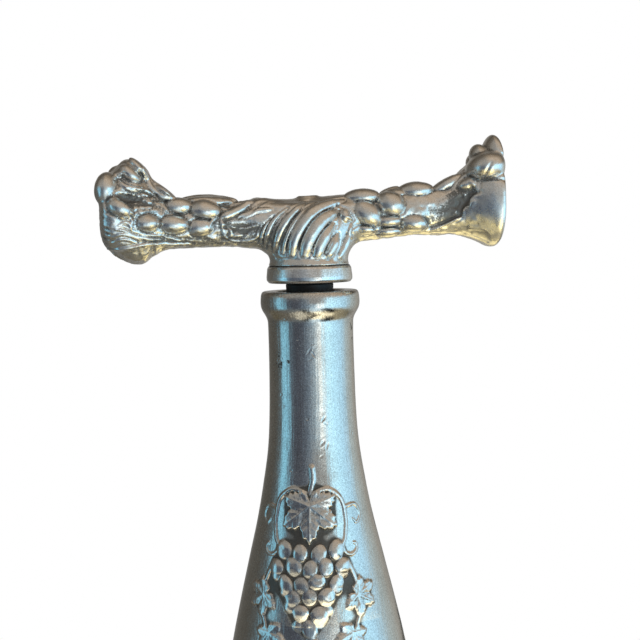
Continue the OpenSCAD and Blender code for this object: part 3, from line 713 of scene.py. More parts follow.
# dark patches, partly patina that has stayed and partly painted shade in the hollow of the left end and along the crack
# of the right arm: place, half-length, half-height, tilt, strength
PATINA_AND_SHADE_PATCHES = [(140, 200, 23, 10, -14, 1.5), (105, 227, 8, 21, 0, 1.6), (141.5, 176.5, 3, 7, 0, 1.0), (139, 227, 9, 11, 0, 0.45), (136, 257, 32, 6, 4, 0.6), (463, 203, 9, 8, 48, 0.75), (470, 192, 9, 6, 20, 0.5), (244, 229, 17, 9, 0, 1.2), (240, 211, 22, 8, 18, 0.7), (195, 241, 60, 5, 0, 1.2),
          (190, 217, 34, 14, 0, 0.3), (478, 153, 8, 10, 30, 0.7), (494, 180, 14, 4, -4, 0.55), (486, 206, 13, 15, 0, 0.35), (225, 226, 9, 14, 0, 0.5), (446, 210, 20, 11, 20, 1.2), (270, 236, 12, 16, 60, 1.0), (459, 204, 8, 8, 45, 1.3), (447, 217, 15, 6, 26, 0.7), (452, 194, 12, 4, 12, 0.7)]
for _y in range(213, 246, 5):
    CUTS.append(([(103, _y - 0.6), (107, _y + 0.5), (113 - 0.06 * abs(_y - 226), _y + 2.6)], 0.15, 0.4))


def form(clay, g, sign):
    """Centre, axes and radii of a rounded form that is placed by a point of the frame."""
    px, py, a, b, tilt, depth, behind = g
    p = clay.hit(px, py)
    m = FPX / float((p - CAM) @ CF)
    t = math.radians(tilt)
    axes = [CR * math.cos(t) + CU * math.sin(t), -CR * math.sin(t) + CU * math.cos(t), CF]
    return p + ray(px, py) * behind * sign, axes, (a / m, b / m, depth)


def in_frame(x, y, z):
    """Places in the frame of points in mm."""
    q = [x - CAM[0], y - CAM[1], z - CAM[2]]
    far = sum(q[k] * CF[k] for k in range(3))
    return 320 + FPX * sum(q[k] * CR[k] for k in range(3)) / far, 320 - FPX * sum(q[k] * CU[k] for k in range(3)) / far


def ledge(clay, route, drop, fade):
    """Lowers the ground on one side of a line, most of all along it."""
    p = catmull(np.array(route, float), 4.0)
    reach = 1.5 * fade + 1.0
    world = np.array([clay.hit(*q) for q in route])
    for flip in (1, -1):
        lo, hi = world.min(0) - reach, world.max(0) + reach
        lo[1], hi[1] = (-15.0, -0.3) if flip > 0 else (0.3, 15.0)
        win = clay.window(lo, hi)
        x, y, z = clay.grid(win)
        u, v = in_frame(x, y * flip, z)
        dist, along = dist_polyline(u, v, p)
        k = np.clip((along * (len(p) - 1)).astype(int), 0, len(p) - 2)
        t = p[k + 1] - p[k]
        turn = t[..., 0] * (v - p[k][..., 1]) - t[..., 1] * (u - p[k][..., 0])
        s = np.where(turn > 0, dist, -dist) / 3.8
        ends = smoothstep(0.0, 0.06, along) * smoothstep(1.0, 0.94, along)
        clay.d[win] += (drop * ends * smoothstep(-0.12, 0.22, s) * smoothstep(1.5 * fade, 0.0, s)).astype(np.float32)


def crumple(clay, px, py, a, b, tilt, high):
    """Uneven ground in an oval patch, on the front and on the back."""
    t = math.radians(tilt)
    reach = 1.3 * max(a * abs(math.cos(t)) + b * abs(math.sin(t)), 4.0), 1.3 * max(a * abs(math.sin(t)) + b * abs(math.cos(t)), 4.0)
    world = np.array([clay.hit(px + i * reach[0], py + j * reach[1]) for i in (-1, 0, 1) for j in (-1, 0, 1)])
    for flip in (1, -1):
        lo, hi = world.min(0) - 1.0, world.max(0) + 1.0
        lo[1], hi[1] = (-15.0, -0.3) if flip > 0 else (0.3, 15.0)
        win = clay.window(lo, hi)
        x, y, z = (q + np.zeros_like(clay.d[win]) for q in clay.grid(win))
        near = np.abs(clay.d[win]) < 1.5
        x, y, z = x[near], y[near] * flip, z[near]
        u, v = in_frame(x, y, z)
        du, dv = (u - px) * math.cos(t) - (v - py) * math.sin(t), (u - px) * math.sin(t) + (v - py) * math.cos(t)
        here = high * np.exp(-((du / a) ** 4 + (dv / b) ** 4))
        d = clay.d[win]
        d[near] += (here * (value_noise(x * 0.6 + z * 0.3, y, z, 1.15, 63) + 0.6 * value_noise(x, y, z, 0.6, 64))).astype(np.float32)
        clay.d[win] = d


def both_sides(c, axes, r, shift=None):
    """A form and its twin on the back, which is set so that it stays hidden behind the front one."""
    yield c, axes, r
    flip = np.array([1.0, -1.0, 1.0])
    far = c * flip + (0 if shift is None else shift)
    far[0] = min(far[0] + 2 * abs(c[1]) * (c[0] - CAM[0]) / -CAM[1], max(48.4, c[0]))
    far[2] -= 0.25
    yield far, [v * flip for v in axes], (r[0] * 0.9, r[1] * 0.93, r[2])


def sculpt_handle():
    clay = Clay((-57.0, -15.0, H + 1.6), (55.0, 15.0, H + 41.6), 0.25)
    base_handle(clay)
    # crinkled ground between the forms
    g = np.meshgrid(*clay.ax, indexing="ij")
    shell = np.abs(clay.d) < 3.0
    gx, gy, gz = (a[shell] for a in g)
    ground = 0.11 * value_noise(gx, gy, gz, 1.7, 61) + 0.09 * value_noise(gx, gy, gz, 0.95, 62)
    much = smoothstep(9.0, 12.0, np.abs(gx)) * (1 - smoothstep(41.0, 46.0, gx)) * 0.9 + 0.1
    clay.d[shell] += (ground * much).astype(np.float32)
    routes = []
    for route, w0, w1, w2 in CORDS:
        pts = np.array([clay.hit(*q) for q in route])
        nrm = np.array([clay.normal(q) for q in pts])
        s = np.linspace(0, 1, len(pts))
        w = np.interp(s, [0, 0.5, 1], [w0, w1, w2])
        sink = np.interp(s, [0, 0.18, 0.85, 1], [0.46, 0.24, 0.30, 0.7])
        p = catmull(pts - nrm * (sink * w)[:, None], 0.6)
        routes.append((p, np.interp(np.linspace(0, 1, len(p)), [0, 0.1, 0.5, 0.85, 1], [0.8 * w0, w0, w1, w2, 0.6 * w2])))
    seeds = []
    for g in GRAPES:
        grow = 1 / math.sqrt(1 - min(g[6] / g[5], 0.75) ** 2)      # so that the part that stands proud has the given size
        seeds.append(form(clay, (g[0], g[1], g[2] * grow, g[3] * grow, *g[4:]), 1))
    for p, w in routes:
        for q in (p, mirrored(p, True)[:int(0.78 * len(p))]):
            clay.tube(q, w[:len(q)], k=0.15, groove=0.3, width=0.32)
    for *g, k, groove in LOBES:
        c, axes, r = form(clay, g, 1)
        one_side = g[2] > 20       # the broad lobe of the right end has smaller ones behind it
        for c, axes, r in [(c, axes, r)] if one_side else both_sides(c, axes, r):
            clay.ellipsoid(c, axes, r, k=k, groove=groove, width=0.4)
    for cx, cy, cz, rx, ry, rz in BACK_LOBES:
        clay.ellipsoid(np.array([cx, cy, H + cz]), np.eye(3), (rx, ry, rz), k=0.35, groove=0.14, width=0.4)
    for c, axes, r in seeds:
        for c, axes, r in both_sides(c, axes, r, np.array([rng.uniform(-0.5, 0.5), 0, rng.uniform(-0.25, 0.0)])):
            clay.ellipsoid(c, axes, r, k=0.08, groove=0.2, width=0.3)
    for g in HOLLOWS:
        c, axes, r = form(clay, g, -1)
        for flip in (np.ones(3), np.array([1.0, -1.0, 1.0])):
            clay.hollow(c * flip, [v * flip for v in axes], r, 0.9)
    for g in FOLDS:
        c, axes, r = form(clay, g, 1)
        for c, axes, r in both_sides(c, axes, r):
            clay.ellipsoid(c, axes, r, k=0.3, groove=0.1, width=0.36)
    for route, w, sink in RIDGES:
        p = catmull(np.array([clay.hit(*q) + ray(*q) * sink for q in route]), 0.5)
        w = w * np.interp(np.linspace(0, 1, len(p)), [0, 0.15, 0.85, 1], [0.55, 1, 1, 0.55])
        for q in (p, mirrored(p, False)):
            clay.tube(q, w, k=0.3, groove=0.14, width=0.36)
    x, y, z = clay.grid()
    edge = 52.0 - 0.012 * np.clip(z - H - 33.0, 0, None) ** 2 - 0.006 * np.clip(H + 20.0 - z, 0, None) ** 2 - 0.2 * np.clip(np.abs(y) - 6.0, 0, None)
    # the bell's face is a shallow dish with growth rings, like a cut vine; the lobes above it are rounder
    ey, ez = (a + np.zeros_like(edge) for a in (y, z - H - 21.5))
    wave = value_noise(ey, ez, 0 * ey, 3.2, 71)
    rho = np.sqrt(ey ** 2 + (0.86 * ez) ** 2) + 0.5 * wave
    face = smoothstep(31.0, 28.5, z - H)
    edge = edge - face * (0.85 * np.exp(-(rho / 6.2) ** 2) + 0.05 * np.sin(3.6 * rho)) + 0.07 * wave + 0.45 * (1 - face)
    clay.d = (-smooth_min(-clay.d, edge - x, 1.1 + 1.5 * (1 - face))).astype(np.float32)
    for route, drop, fade in LEDGES:
        ledge(clay, route, drop, fade)
    for patch in CRUMPLED:
        crumple(clay, *patch)
    for route, depth, width in CUTS:
        p = catmull(np.array([clay.hit(*q) for q in route]), 0.5)
        for q in (p, mirrored(p, False)):
            clay.scratch(q, depth, width)
    return clay


def handle_object():
    clay = sculpt_handle()
    v, f = clay.mesh()
    soft = np.clip(0.5 - clay.d / (2 * clay.h), 0, 1)
    fine, broad = soft, soft
    r1, r2 = max(1, int(round(0.55 / clay.h))), max(2, int(round(1.8 / clay.h)))
    for axis in range(3):
        fine = box_blur(box_blur(fine, r1, axis), r1, axis).astype(np.float32)
        broad = box_blur(box_blur(broad, r2, axis), r2, axis).astype(np.float32)
    cav = 3.0 * (clay.sample(v, fine) - 0.5) + 1.5 * (clay.sample(v, broad) - 0.47)
    u, w = in_frame(v[:, 0], -np.abs(v[:, 1]), v[:, 2])
    # dark patches from the table above, patina and painted shade, added to the cav attribute
    for px, py, a, b, tilt, much in PATINA_AND_SHADE_PATCHES:
        t = math.radians(tilt)
        du, dw = (u - px) * math.cos(t) - (w - py) * math.sin(t), (u - px) * math.sin(t) + (w - py) * math.cos(t)
        much = much * (0.3 + 0.7 * smoothstep(-53.9, -52.4, v[:, 0]))      # the end face is worn brighter
        cav = cav + much * np.exp(-((du / a) ** 2 + (dw / b) ** 2)) * np.clip(0.75 + 1.6 * cav, 0.2, 1.0)
    # worn, slightly uneven casting
    eps = 0.35
    nrm = np.stack([clay.sample(v + np.eye(3)[k] * eps) - clay.sample(v - np.eye(3)[k] * eps) for k in range(3)], -1)
    nrm /= np.maximum(np.linalg.norm(nrm, axis=1), 1e-6)[:, None]
    rough = 0.06 * value_noise(v[:, 0], v[:, 1], v[:, 2], 2.6, 51) + 0.035 * value_noise(v[:, 0], v[:, 1], v[:, 2], 1.1, 52) + 0.02 * value_noise(v[:, 0], v[:, 1], v[:, 2], 0.55, 53)
    rough = rough * (1 - 0.7 * smoothstep(41.0, 45.0, v[:, 0]))      # the bell is smoother
    v = v + nrm * rough[:, None]
    return new_mesh("vine_handle_cast", v, f, {"cav": np.clip(cav, -1.5, 1.5), "inside": np.zeros(len(v))})


# --------------------------------------------------------------------------
# worm, stopper, ferrule, bush and foot
# --------------------------------------------------------------------------
SHANK_R, WIRE_R, WORM_R, PITCH, TURNS, SHOULDER = 2.6, 1.55, 4.6, 9.0, 6.0, 19.0


def worm_object():
    """Shank and right-handed worm, swept as one tube with a ground point."""
    per, sides = 40, 24
    u = np.arange(0, int(TURNS * per) + 1) / per
    ease = lambda q: smoothstep(0.0, 1.0, q)
    rad = (WORM_R - WIRE_R) * ease(u / 0.8) * (1 - 0.18 * ease((u - TURNS + 0.7) / 0.7))
    zed = H - SHOULDER - 1 - 1.5 * np.minimum(u, 0.8) - PITCH * u
    ang = -2 * math.pi * u
    path = np.stack([rad * np.cos(ang), rad * np.sin(ang), zed], -1)
    wire = (SHANK_R - 0.02 + (WIRE_R - SHANK_R + 0.02) * ease(u / 0.7)) * (1 - 0.9 * ease((u - TURNS + 0.9) / 0.9))
    shank_z = np.concatenate([[H + 17.0, H + 16.8], np.linspace(H + 16.0, H - SHOULDER - 0.4, 30)])
    shank = np.stack([0 * shank_z, 0 * shank_z, shank_z], -1)
    c = np.vstack([shank, path])
    r = np.concatenate([[SHANK_R - 0.4], np.full(len(shank) - 1, SHANK_R - 0.01), wire])
    outd = np.vstack([np.tile([1.0, 0, 0], (len(shank), 1)), np.stack([np.cos(ang), np.sin(ang), 0 * ang], -1)])
    tan = np.gradient(c, axis=0)
    tan /= np.linalg.norm(tan, axis=1)[:, None]
    b = np.cross(tan, outd)
    b /= np.linalg.norm(b, axis=1)[:, None]
    n = np.cross(b, tan)
    a = np.linspace(0, 2 * math.pi, sides, endpoint=False)
    v = (c[:, None] + r[:, None, None] * (np.cos(a)[None, :, None] * n[:, None] + np.sin(a)[None, :, None] * b[:, None])).reshape(-1, 3)
    k = len(c)
    i, j = np.meshgrid(np.arange(k - 1), np.arange(sides), indexing="ij")
    j2 = (j + 1) % sides
    q = np.stack([i * sides + j, i * sides + j2, (i + 1) * sides + j2, (i + 1) * sides + j], -1).reshape(-1, 4)
    v = np.vstack([v, c[0], c[-1] + tan[-1] * 0.25])
    s = np.arange(sides)
    s2 = (s + 1) % sides
    caps = np.vstack([np.stack([np.full(sides, k * sides), s2, s], -1), np.stack([np.full(sides, k * sides + 1), (k - 1) * sides + s, (k - 1) * sides + s2], -1)])
    return new_mesh("worm_steel", v, [q, caps], {"cav": np.zeros(len(v)), "inside": np.zeros(len(v))}, sharp=50.0)


def cone(t):
    return 6.3 - (t + 2.0) / 20.0


def plain_attrs(ob, cav=0.0):
    n = len(ob.data.vertices)
    for key, val in (("cav", cav), ("inside", 0.0)):
        a = ob.data.attributes.new(key, "FLOAT", "POINT")
        a.data.foreach_set("value", np.full(n, val, np.float32))
    return ob


def stopper_object():
    sec = [[2.65, H + 2.0, 0.1], [6.0, H + 2.0, 0.35], [6.27, H + 1.6, 0.2]]
    for t in (4.0, 9.0, 14.0):
        sec += [[cone(t - 0.45), H - t + 0.45, 0.1], [cone(t) - 0.22, H - t, 0.2], [cone(t + 0.45), H - t - 0.45, 0.1]]
    sec += [[cone(17.3), H - 17.3, 0.3], [cone(18) - 0.6, H - 18.0, 0.3], [2.65, H - 18.0, 0.1]]
    return plain_attrs(lathe("stopper_plug", rounded(sec, 0.2, 3)[::-1], 128, 35.0))


def ferrule_object():
    z0, z1 = H + 2.15, H + 6.65
    sec = [[7.0, z0, 0.2], [10.7, z0, 0.5], [11.28, z0 + 0.75, 0.7], [11.3, z0 + 1.6, 0.5], [11.06, z1 - 0.7, 0.6], [10.62, z1, 0.35], [7.0, z1, 0.2]]
    ob = lathe("ferrule_ring", rounded(sec, 0.3, 5), 200, 40.0)
    n = len(ob.data.vertices)
    co = np.zeros(n * 3, np.float32)
    ob.data.vertices.foreach_get("co", co)
    co = co.reshape(-1, 3).astype(float) / MM
    rr = np.hypot(co[:, 0], co[:, 1])
    bump = 0.05 * value_noise(co[:, 0], co[:, 1], co[:, 2], 3.5, 31) + 0.02 * value_noise(co[:, 0], co[:, 1], co[:, 2], 1.2, 32)
    grow = np.where(rr > 9.0, 1 + bump / rr, 1.0)
    co[:, :2] *= grow[:, None]
    ob.data.vertices.foreach_set("co", (co * MM).astype(np.float32).ravel())
    cav = np.where(co[:, 2] > z1 - 0.25, 0.9, 0.0) + np.where(co[:, 2] < z0 + 0.1, 0.5, 0.0)
    for key, val in (("cav", cav), ("inside", np.zeros(n))):
        a = ob.data.attributes.new(key, "FLOAT", "POINT")
        a.data.foreach_set("value", val.astype(np.float32))
    return ob


def bush_object():
    bore = lambda t: cone(t) + 0.06
    sec = [[bore(0.8) + 0.55, H - 0.8, 0.15], [BORE - 0.03, H - 0.8, 0.15], [BORE - 0.03, H - 22.98, 0.1], [bore(23.0) + 0.3, H - 22.98, 0.2], [bore(22.6), H - 22.5, 0.2], [bore(1.6), H - 1.6, 0.3]]
    return plain_attrs(lathe("mouth_bush_ring", rounded(sec, 0.2, 4)[::-1], 160, 40.0), 0.35)


def felt_object():
    """Felt disc, with a soft edge that is slightly uneven."""
    prof = [(0.0, 1.5), (8.0, 1.5), (16.0, 1.5), (22.0, 1.5), (23.6, 1.5), (24.0, 1.36), (24.18, 1.05), (24.2, 0.7), (24.12, 0.35), (23.85, 0.12), (23.4, 0.02), (22.0, 0.0), (16.0, 0.0), (8.0, 0.0), (0.0, 0.0)]
    seg = 180
    a = np.linspace(0, 2 * math.pi, seg, endpoint=False)
    mid = np.array(prof[1:-1])
    r = mid[None, :, 0] + 0.07 * value_noise(24 * np.cos(a), 24 * np.sin(a), 0 * a, 1.2, 41)[:, None] * (mid[None, :, 0] > 23)
    v = np.stack([r * np.cos(a)[:, None], r * np.sin(a)[:, None], np.broadcast_to(mid[None, :, 1], r.shape)], -1)
    n = len(mid)
    v = np.vstack([v.reshape(-1, 3), [[0, 0, 1.5]], [[0, 0, 0.0]]])
    i, j = np.meshgrid(np.arange(seg), np.arange(n - 1), indexing="ij")
    i2 = (i + 1) % seg
    q = np.stack([i * n + j, i * n + j + 1, i2 * n + j + 1, i2 * n + j], -1).reshape(-1, 4)
    s = np.arange(seg)
    s2 = (s + 1) % seg
    caps = np.vstack([np.stack([np.full(seg, seg * n), s * n, s2 * n], -1), np.stack([np.full(seg, seg * n + 1), s2 * n + n - 1, s * n + n - 1], -1)])
    return new_mesh("foot_felt", v, [q, caps])


def plate_object():
    sec = [[0.4, 3.69], [24.3, 3.69, 0.25], [24.55, 3.4, 0.1], [24.55, 1.75, 0.15], [24.3, 1.52, 0.1], [0.4, 1.52]]
    return plain_attrs(lathe("foot_plate", rounded(sec, 0.1, 3)[::-1], 160, 40.0), 0.3)


# --------------------------------------------------------------------------
# materials
# --------------------------------------------------------------------------
class Nodes:
    def __init__(self, name):
        self.mat = bpy.data.materials.new(name)
        self.mat.use_nodes = True
        self.t = self.mat.node_tree
        self.t.nodes.clear()
        self.out = self.t.nodes.new("ShaderNodeOutputMaterial")
        self.bsdf = self.t.nodes.new("ShaderNodeBsdfPrincipled")
        self.link(self.bsdf.outputs[0], self.out.inputs["Surface"])
        self.coord = self.t.nodes.new("ShaderNodeTexCoord").outputs["Object"]

    def link(self, a, b):
        self.t.links.new(a, b)

    def put(self, socket, value):
        if isinstance(value, bpy.types.NodeSocket):
            self.link(value, socket)
        else:
            socket.default_value = value

    def noise(self, scale, detail=3.0, rough=0.55, vector=None, distort=0.0):
        n = self.t.nodes.new("ShaderNodeTexNoise")
        n.inputs["Scale"].default_value = scale
        n.inputs["Detail"].default_value = detail
        n.inputs["Roughness"].default_value = rough
        n.inputs["Distortion"].default_value = distort
        self.link(vector or self.coord, n.inputs["Vector"])
        return n.outputs["Fac"]

    def voronoi(self, scale, vector=None, feature="F1"):
        n = self.t.nodes.new("ShaderNodeTexVoronoi")
        n.feature = feature
        n.inputs["Scale"].default_value = scale
        self.link(vector or self.coord, n.inputs["Vector"])
        return n.outputs["Distance"]

    def scaled(self, x, y, z, rot=(0, 0, 0)):
        n = self.t.nodes.new("ShaderNodeMapping")
        n.inputs["Scale"].default_value = (x, y, z)
        n.inputs["Rotation"].default_value = rot
        self.link(self.coord, n.inputs["Vector"])
        return n.outputs[0]

    def ramp(self, fac, stops):
        n = self.t.nodes.new("ShaderNodeMapRange")
        n.interpolation_type = "SMOOTHSTEP"
        n.inputs["From Min"].default_value, n.inputs["From Max"].default_value = stops[0], stops[1]
        n.inputs["To Min"].default_value, n.inputs["To Max"].default_value = stops[2], stops[3]
        self.link(fac, n.inputs["Value"])
        return n.outputs[0]

    def math(self, op, a, b=None):
        n = self.t.nodes.new("ShaderNodeMath")
        n.operation = op
        self.put(n.inputs[0], a)
        if b is not None:
            self.put(n.inputs[1], b)
        return n.outputs[0]

    def mix(self, fac, a, b):
        n = self.t.nodes.new("ShaderNodeMix")
        n.data_type = "RGBA"
        self.put(n.inputs["Factor"], fac)
        self.put(n.inputs[6], a)
        self.put(n.inputs[7], b)
        return n.outputs[2]

    def attr(self, name):
        n = self.t.nodes.new("ShaderNodeAttribute")
        n.attribute_name = name
        return n.outputs["Fac"]

    def bump(self, height, strength, distance, normal=None):
        n = self.t.nodes.new("ShaderNodeBump")
        n.inputs["Strength"].default_value = strength
        n.inputs["Distance"].default_value = distance
        self.link(height, n.inputs["Height"])
        if normal is not None:
            self.link(normal, n.inputs["Normal"])
        return n.outputs[0]


def pewter_material(name, light=(0.60, 0.585, 0.56), rough=0.17, patina_shade_strength=1.0, scratch=1.0, grainy=1.0, drawn=0.0, spotted=0.0):
    m = Nodes(name)
    cav, inside = m.attr("cav"), m.attr("inside")
    broad = m.noise(90, 3, 0.6)
    mid = m.noise(520, 4, 0.62)
    grit = m.noise(2600, 3, 0.6)
    streak = m.noise(1.0, 4, 0.65, m.scaled(1900, 1900, 90))
    # colour: worn metal, duller patches, dark patina down in the hollows, and on the handle painted shade in its hollow
    # and along its crack
    dull = m.ramp(broad, (0.38, 0.72, 0.0, 0.45))
    col = m.mix(dull, (*light, 1), (light[0] * 0.78, light[1] * 0.77, light[2] * 0.75, 1))
    speck = m.ramp(mid, (0.56, 0.80, 0.0, 0.30))
    col = m.mix(speck, col, (light[0] * 0.50, light[1] * 0.48, light[2] * 0.45, 1))
    grain = m.noise(3100, 1, 0.5)
    col = m.mix(m.ramp(grain, (0.48, 0.70, 0.0, 0.58 * grainy)), col, (light[0] * 0.56, light[1] * 0.55, light[2] * 0.54, 1))
    col = m.mix(m.ramp(grain, (0.30, 0.48, 0.55 * grainy, 0.0)), col, (min(light[0] * 1.35, 0.95), min(light[1] * 1.35, 0.95), min(light[2] * 1.35, 0.95), 1))
    darken_amount = m.math("ADD", cav, m.math("MULTIPLY", m.math("SUBTRACT", mid, 0.5), 0.8))
    if spotted:      # the dark of the patina and of the painted shade breaks up into grains
        darken_amount = m.math("ADD", darken_amount, m.math("MULTIPLY", m.math("MULTIPLY", m.math("SUBTRACT", grit, 0.5), 3.0 * spotted), m.ramp(cav, (0.1, 0.6, 0.0, 1.0))))
    # the mask below darkens the colour with patina and, on the handle, with painted shade; it also dulls the metal
    patina_and_shade = m.ramp(darken_amount, (0.22, 1.0, 0.0, 0.92 * patina_shade_strength))
    col = m.mix(patina_and_shade, col, (0.055, 0.051, 0.046, 1))
    proud = m.ramp(cav, (-0.9, -0.25, 0.5, 0.0))
    col = m.mix(proud, col, (0.72, 0.705, 0.68, 1))
    col = m.mix(inside, col, (0.16, 0.155, 0.145, 1))
    m.put(m.bsdf.inputs["Base Color"], col)
    m.put(m.bsdf.inputs["Metallic"], m.math("SUBTRACT", 1.0, m.math("MULTIPLY", patina_and_shade, 0.45)))
    r = m.math("ADD", m.ramp(mid, (0.3, 0.75, rough - 0.03, rough + 0.07)), m.math("MULTIPLY", patina_and_shade, 0.30))
    r = m.math("ADD", r, m.math("MULTIPLY", m.math("SUBTRACT", streak, 0.5), 0.08))
    r = m.math("ADD", r, m.math("MULTIPLY", inside, 0.3))
    m.put(m.bsdf.inputs["Roughness"], r)
    # fine drawn scratches, grain of the casting and a few pits
    pits = m.ramp(m.voronoi(330), (0.05, 0.16, 0.0, 1.0))
    pit_where = m.ramp(m.noise(160, 2, 0.5), (0.60, 0.68, 1.0, 0.0))
    pits = m.math("MAXIMUM", pits, pit_where)
    h = m.math("ADD", m.math("MULTIPLY", streak, 0.55 * scratch), m.math("MULTIPLY", grit, 0.85 * grainy))
    h = m.math("ADD", h, m.math("MULTIPLY", mid, 0.40))
    n1 = m.bump(h, 0.20, 0.00010)
    n2 = m.bump(pits, 0.5, 0.00014, n1)
    if drawn:      # long rubbing marks
        n2 = m.bump(m.noise(1.0, 3, 0.62, m.scaled(950, 950, 16)), 0.45 * drawn, 0.00016, n2)
    m.put(m.bsdf.inputs["Normal"], n2)
    return m.mat


def steel_material(name):
    m = Nodes(name)
    turn = m.noise(1.0, 3, 0.6, m.scaled(300, 300, 5200))
    spots = m.noise(700, 3, 0.6)
    col = m.mix(m.ramp(spots, (0.55, 0.8, 0.0, 0.5)), (0.72, 0.725, 0.735, 1), (0.46, 0.45, 0.44, 1))
    m.put(m.bsdf.inputs["Base Color"], col)
    m.bsdf.inputs["Metallic"].default_value = 1.0
    m.put(m.bsdf.inputs["Roughness"], m.ramp(turn, (0.3, 0.7, 0.16, 0.32)))
    m.put(m.bsdf.inputs["Normal"], m.bump(turn, 0.25, 0.00005))
    return m.mat


def stopper_material(name):
    m = Nodes(name)
    grain = m.noise(1800, 3, 0.6)
    rub = m.noise(240, 3, 0.6)
    col = m.mix(m.ramp(rub, (0.45, 0.8, 0.0, 0.6)), (0.010, 0.010, 0.011, 1), (0.030, 0.029, 0.028, 1))
    m.put(m.bsdf.inputs["Base Color"], col)
    m.put(m.bsdf.inputs["Roughness"], m.ramp(rub, (0.3, 0.75, 0.48, 0.7)))
    m.put(m.bsdf.inputs["Normal"], m.bump(grain, 0.3, 0.00006))
    return m.mat


def felt_material(name):
    m = Nodes(name)
    fuzz = m.noise(2400, 5, 0.75, None, 0.6)
    tuft = m.noise(520, 4, 0.65)
    col = m.mix(m.ramp(fuzz, (0.3, 0.7, 0.0, 1.0)), (0.018, 0.050, 0.030, 1), (0.060, 0.135, 0.085, 1))
    col = m.mix(m.ramp(tuft, (0.45, 0.75, 0.0, 0.5)), col, (0.030, 0.075, 0.050, 1))
    m.put(m.bsdf.inputs["Base Color"], col)
    m.bsdf.inputs["Roughness"].default_value = 0.95
    m.bsdf.inputs["Sheen Weight"].default_value = 0.4
    m.bsdf.inputs["Sheen Roughness"].default_value = 0.5
    h = m.math("ADD", fuzz, m.math("MULTIPLY", tuft, 0.7))
    m.put(m.bsdf.inputs["Normal"], m.bump(h, 0.8, 0.0003))
    return m.mat


def give(ob, mat):
    ob.data.materials.clear()
    ob.data.materials.append(mat)
    return ob


# --------------------------------------------------------------------------
# light and floor
# --------------------------------------------------------------------------
def light_nodes(t, direction):
    """Small functions that add the nodes that the studio's light is made of."""
    new = t.nodes.new

    def dot(vec):
        n = new("ShaderNodeVectorMath")
        n.operation = "DOT_PRODUCT"
        t.links.new(direction, n.inputs[0])
        n.inputs[1].default_value = tuple(vec)
        return n.outputs["Value"]

    def calc(op, a, b):
        n = new("ShaderNodeMath")
        n.operation = op
        for k, val in enumerate((a, b)):
            if isinstance(val, bpy.types.NodeSocket):
                t.links.new(val, n.inputs[k])
            else:
                n.inputs[k].default_value = val
        return n.outputs[0]

    def ramp(fac, stops, mode="EASE"):
        n = new("ShaderNodeValToRGB")
        n.color_ramp.interpolation = mode
        el = n.color_ramp.elements
        while len(el) > 1:
            el.remove(el[0])
        el[0].position, el[0].color = stops[0][0], (*stops[0][1], 1)
        for p, c in stops[1:]:
            e = el.new(p)
            e.color = (*c, 1)
        t.links.new(fac, n.inputs[0])
        return n.outputs[0]

    def mix(fac, a, b):
        n = new("ShaderNodeMix")
        n.data_type = "RGBA"
        t.links.new(fac, n.inputs["Factor"])
        for val, sock in ((a, n.inputs[6]), (b, n.inputs[7])):
            if isinstance(val, bpy.types.NodeSocket):
                t.links.new(val, sock)
            else:
                sock.default_value = val
        return n.outputs[2]

    def step(fac, lo, hi):
        n = new("ShaderNodeMapRange")
        n.interpolation_type = "SMOOTHSTEP"
        n.inputs["From Min"].default_value, n.inputs["From Max"].default_value = lo, hi
        t.links.new(fac, n.inputs["Value"])
        return n.outputs[0]

    return dot, calc, ramp, mix, step


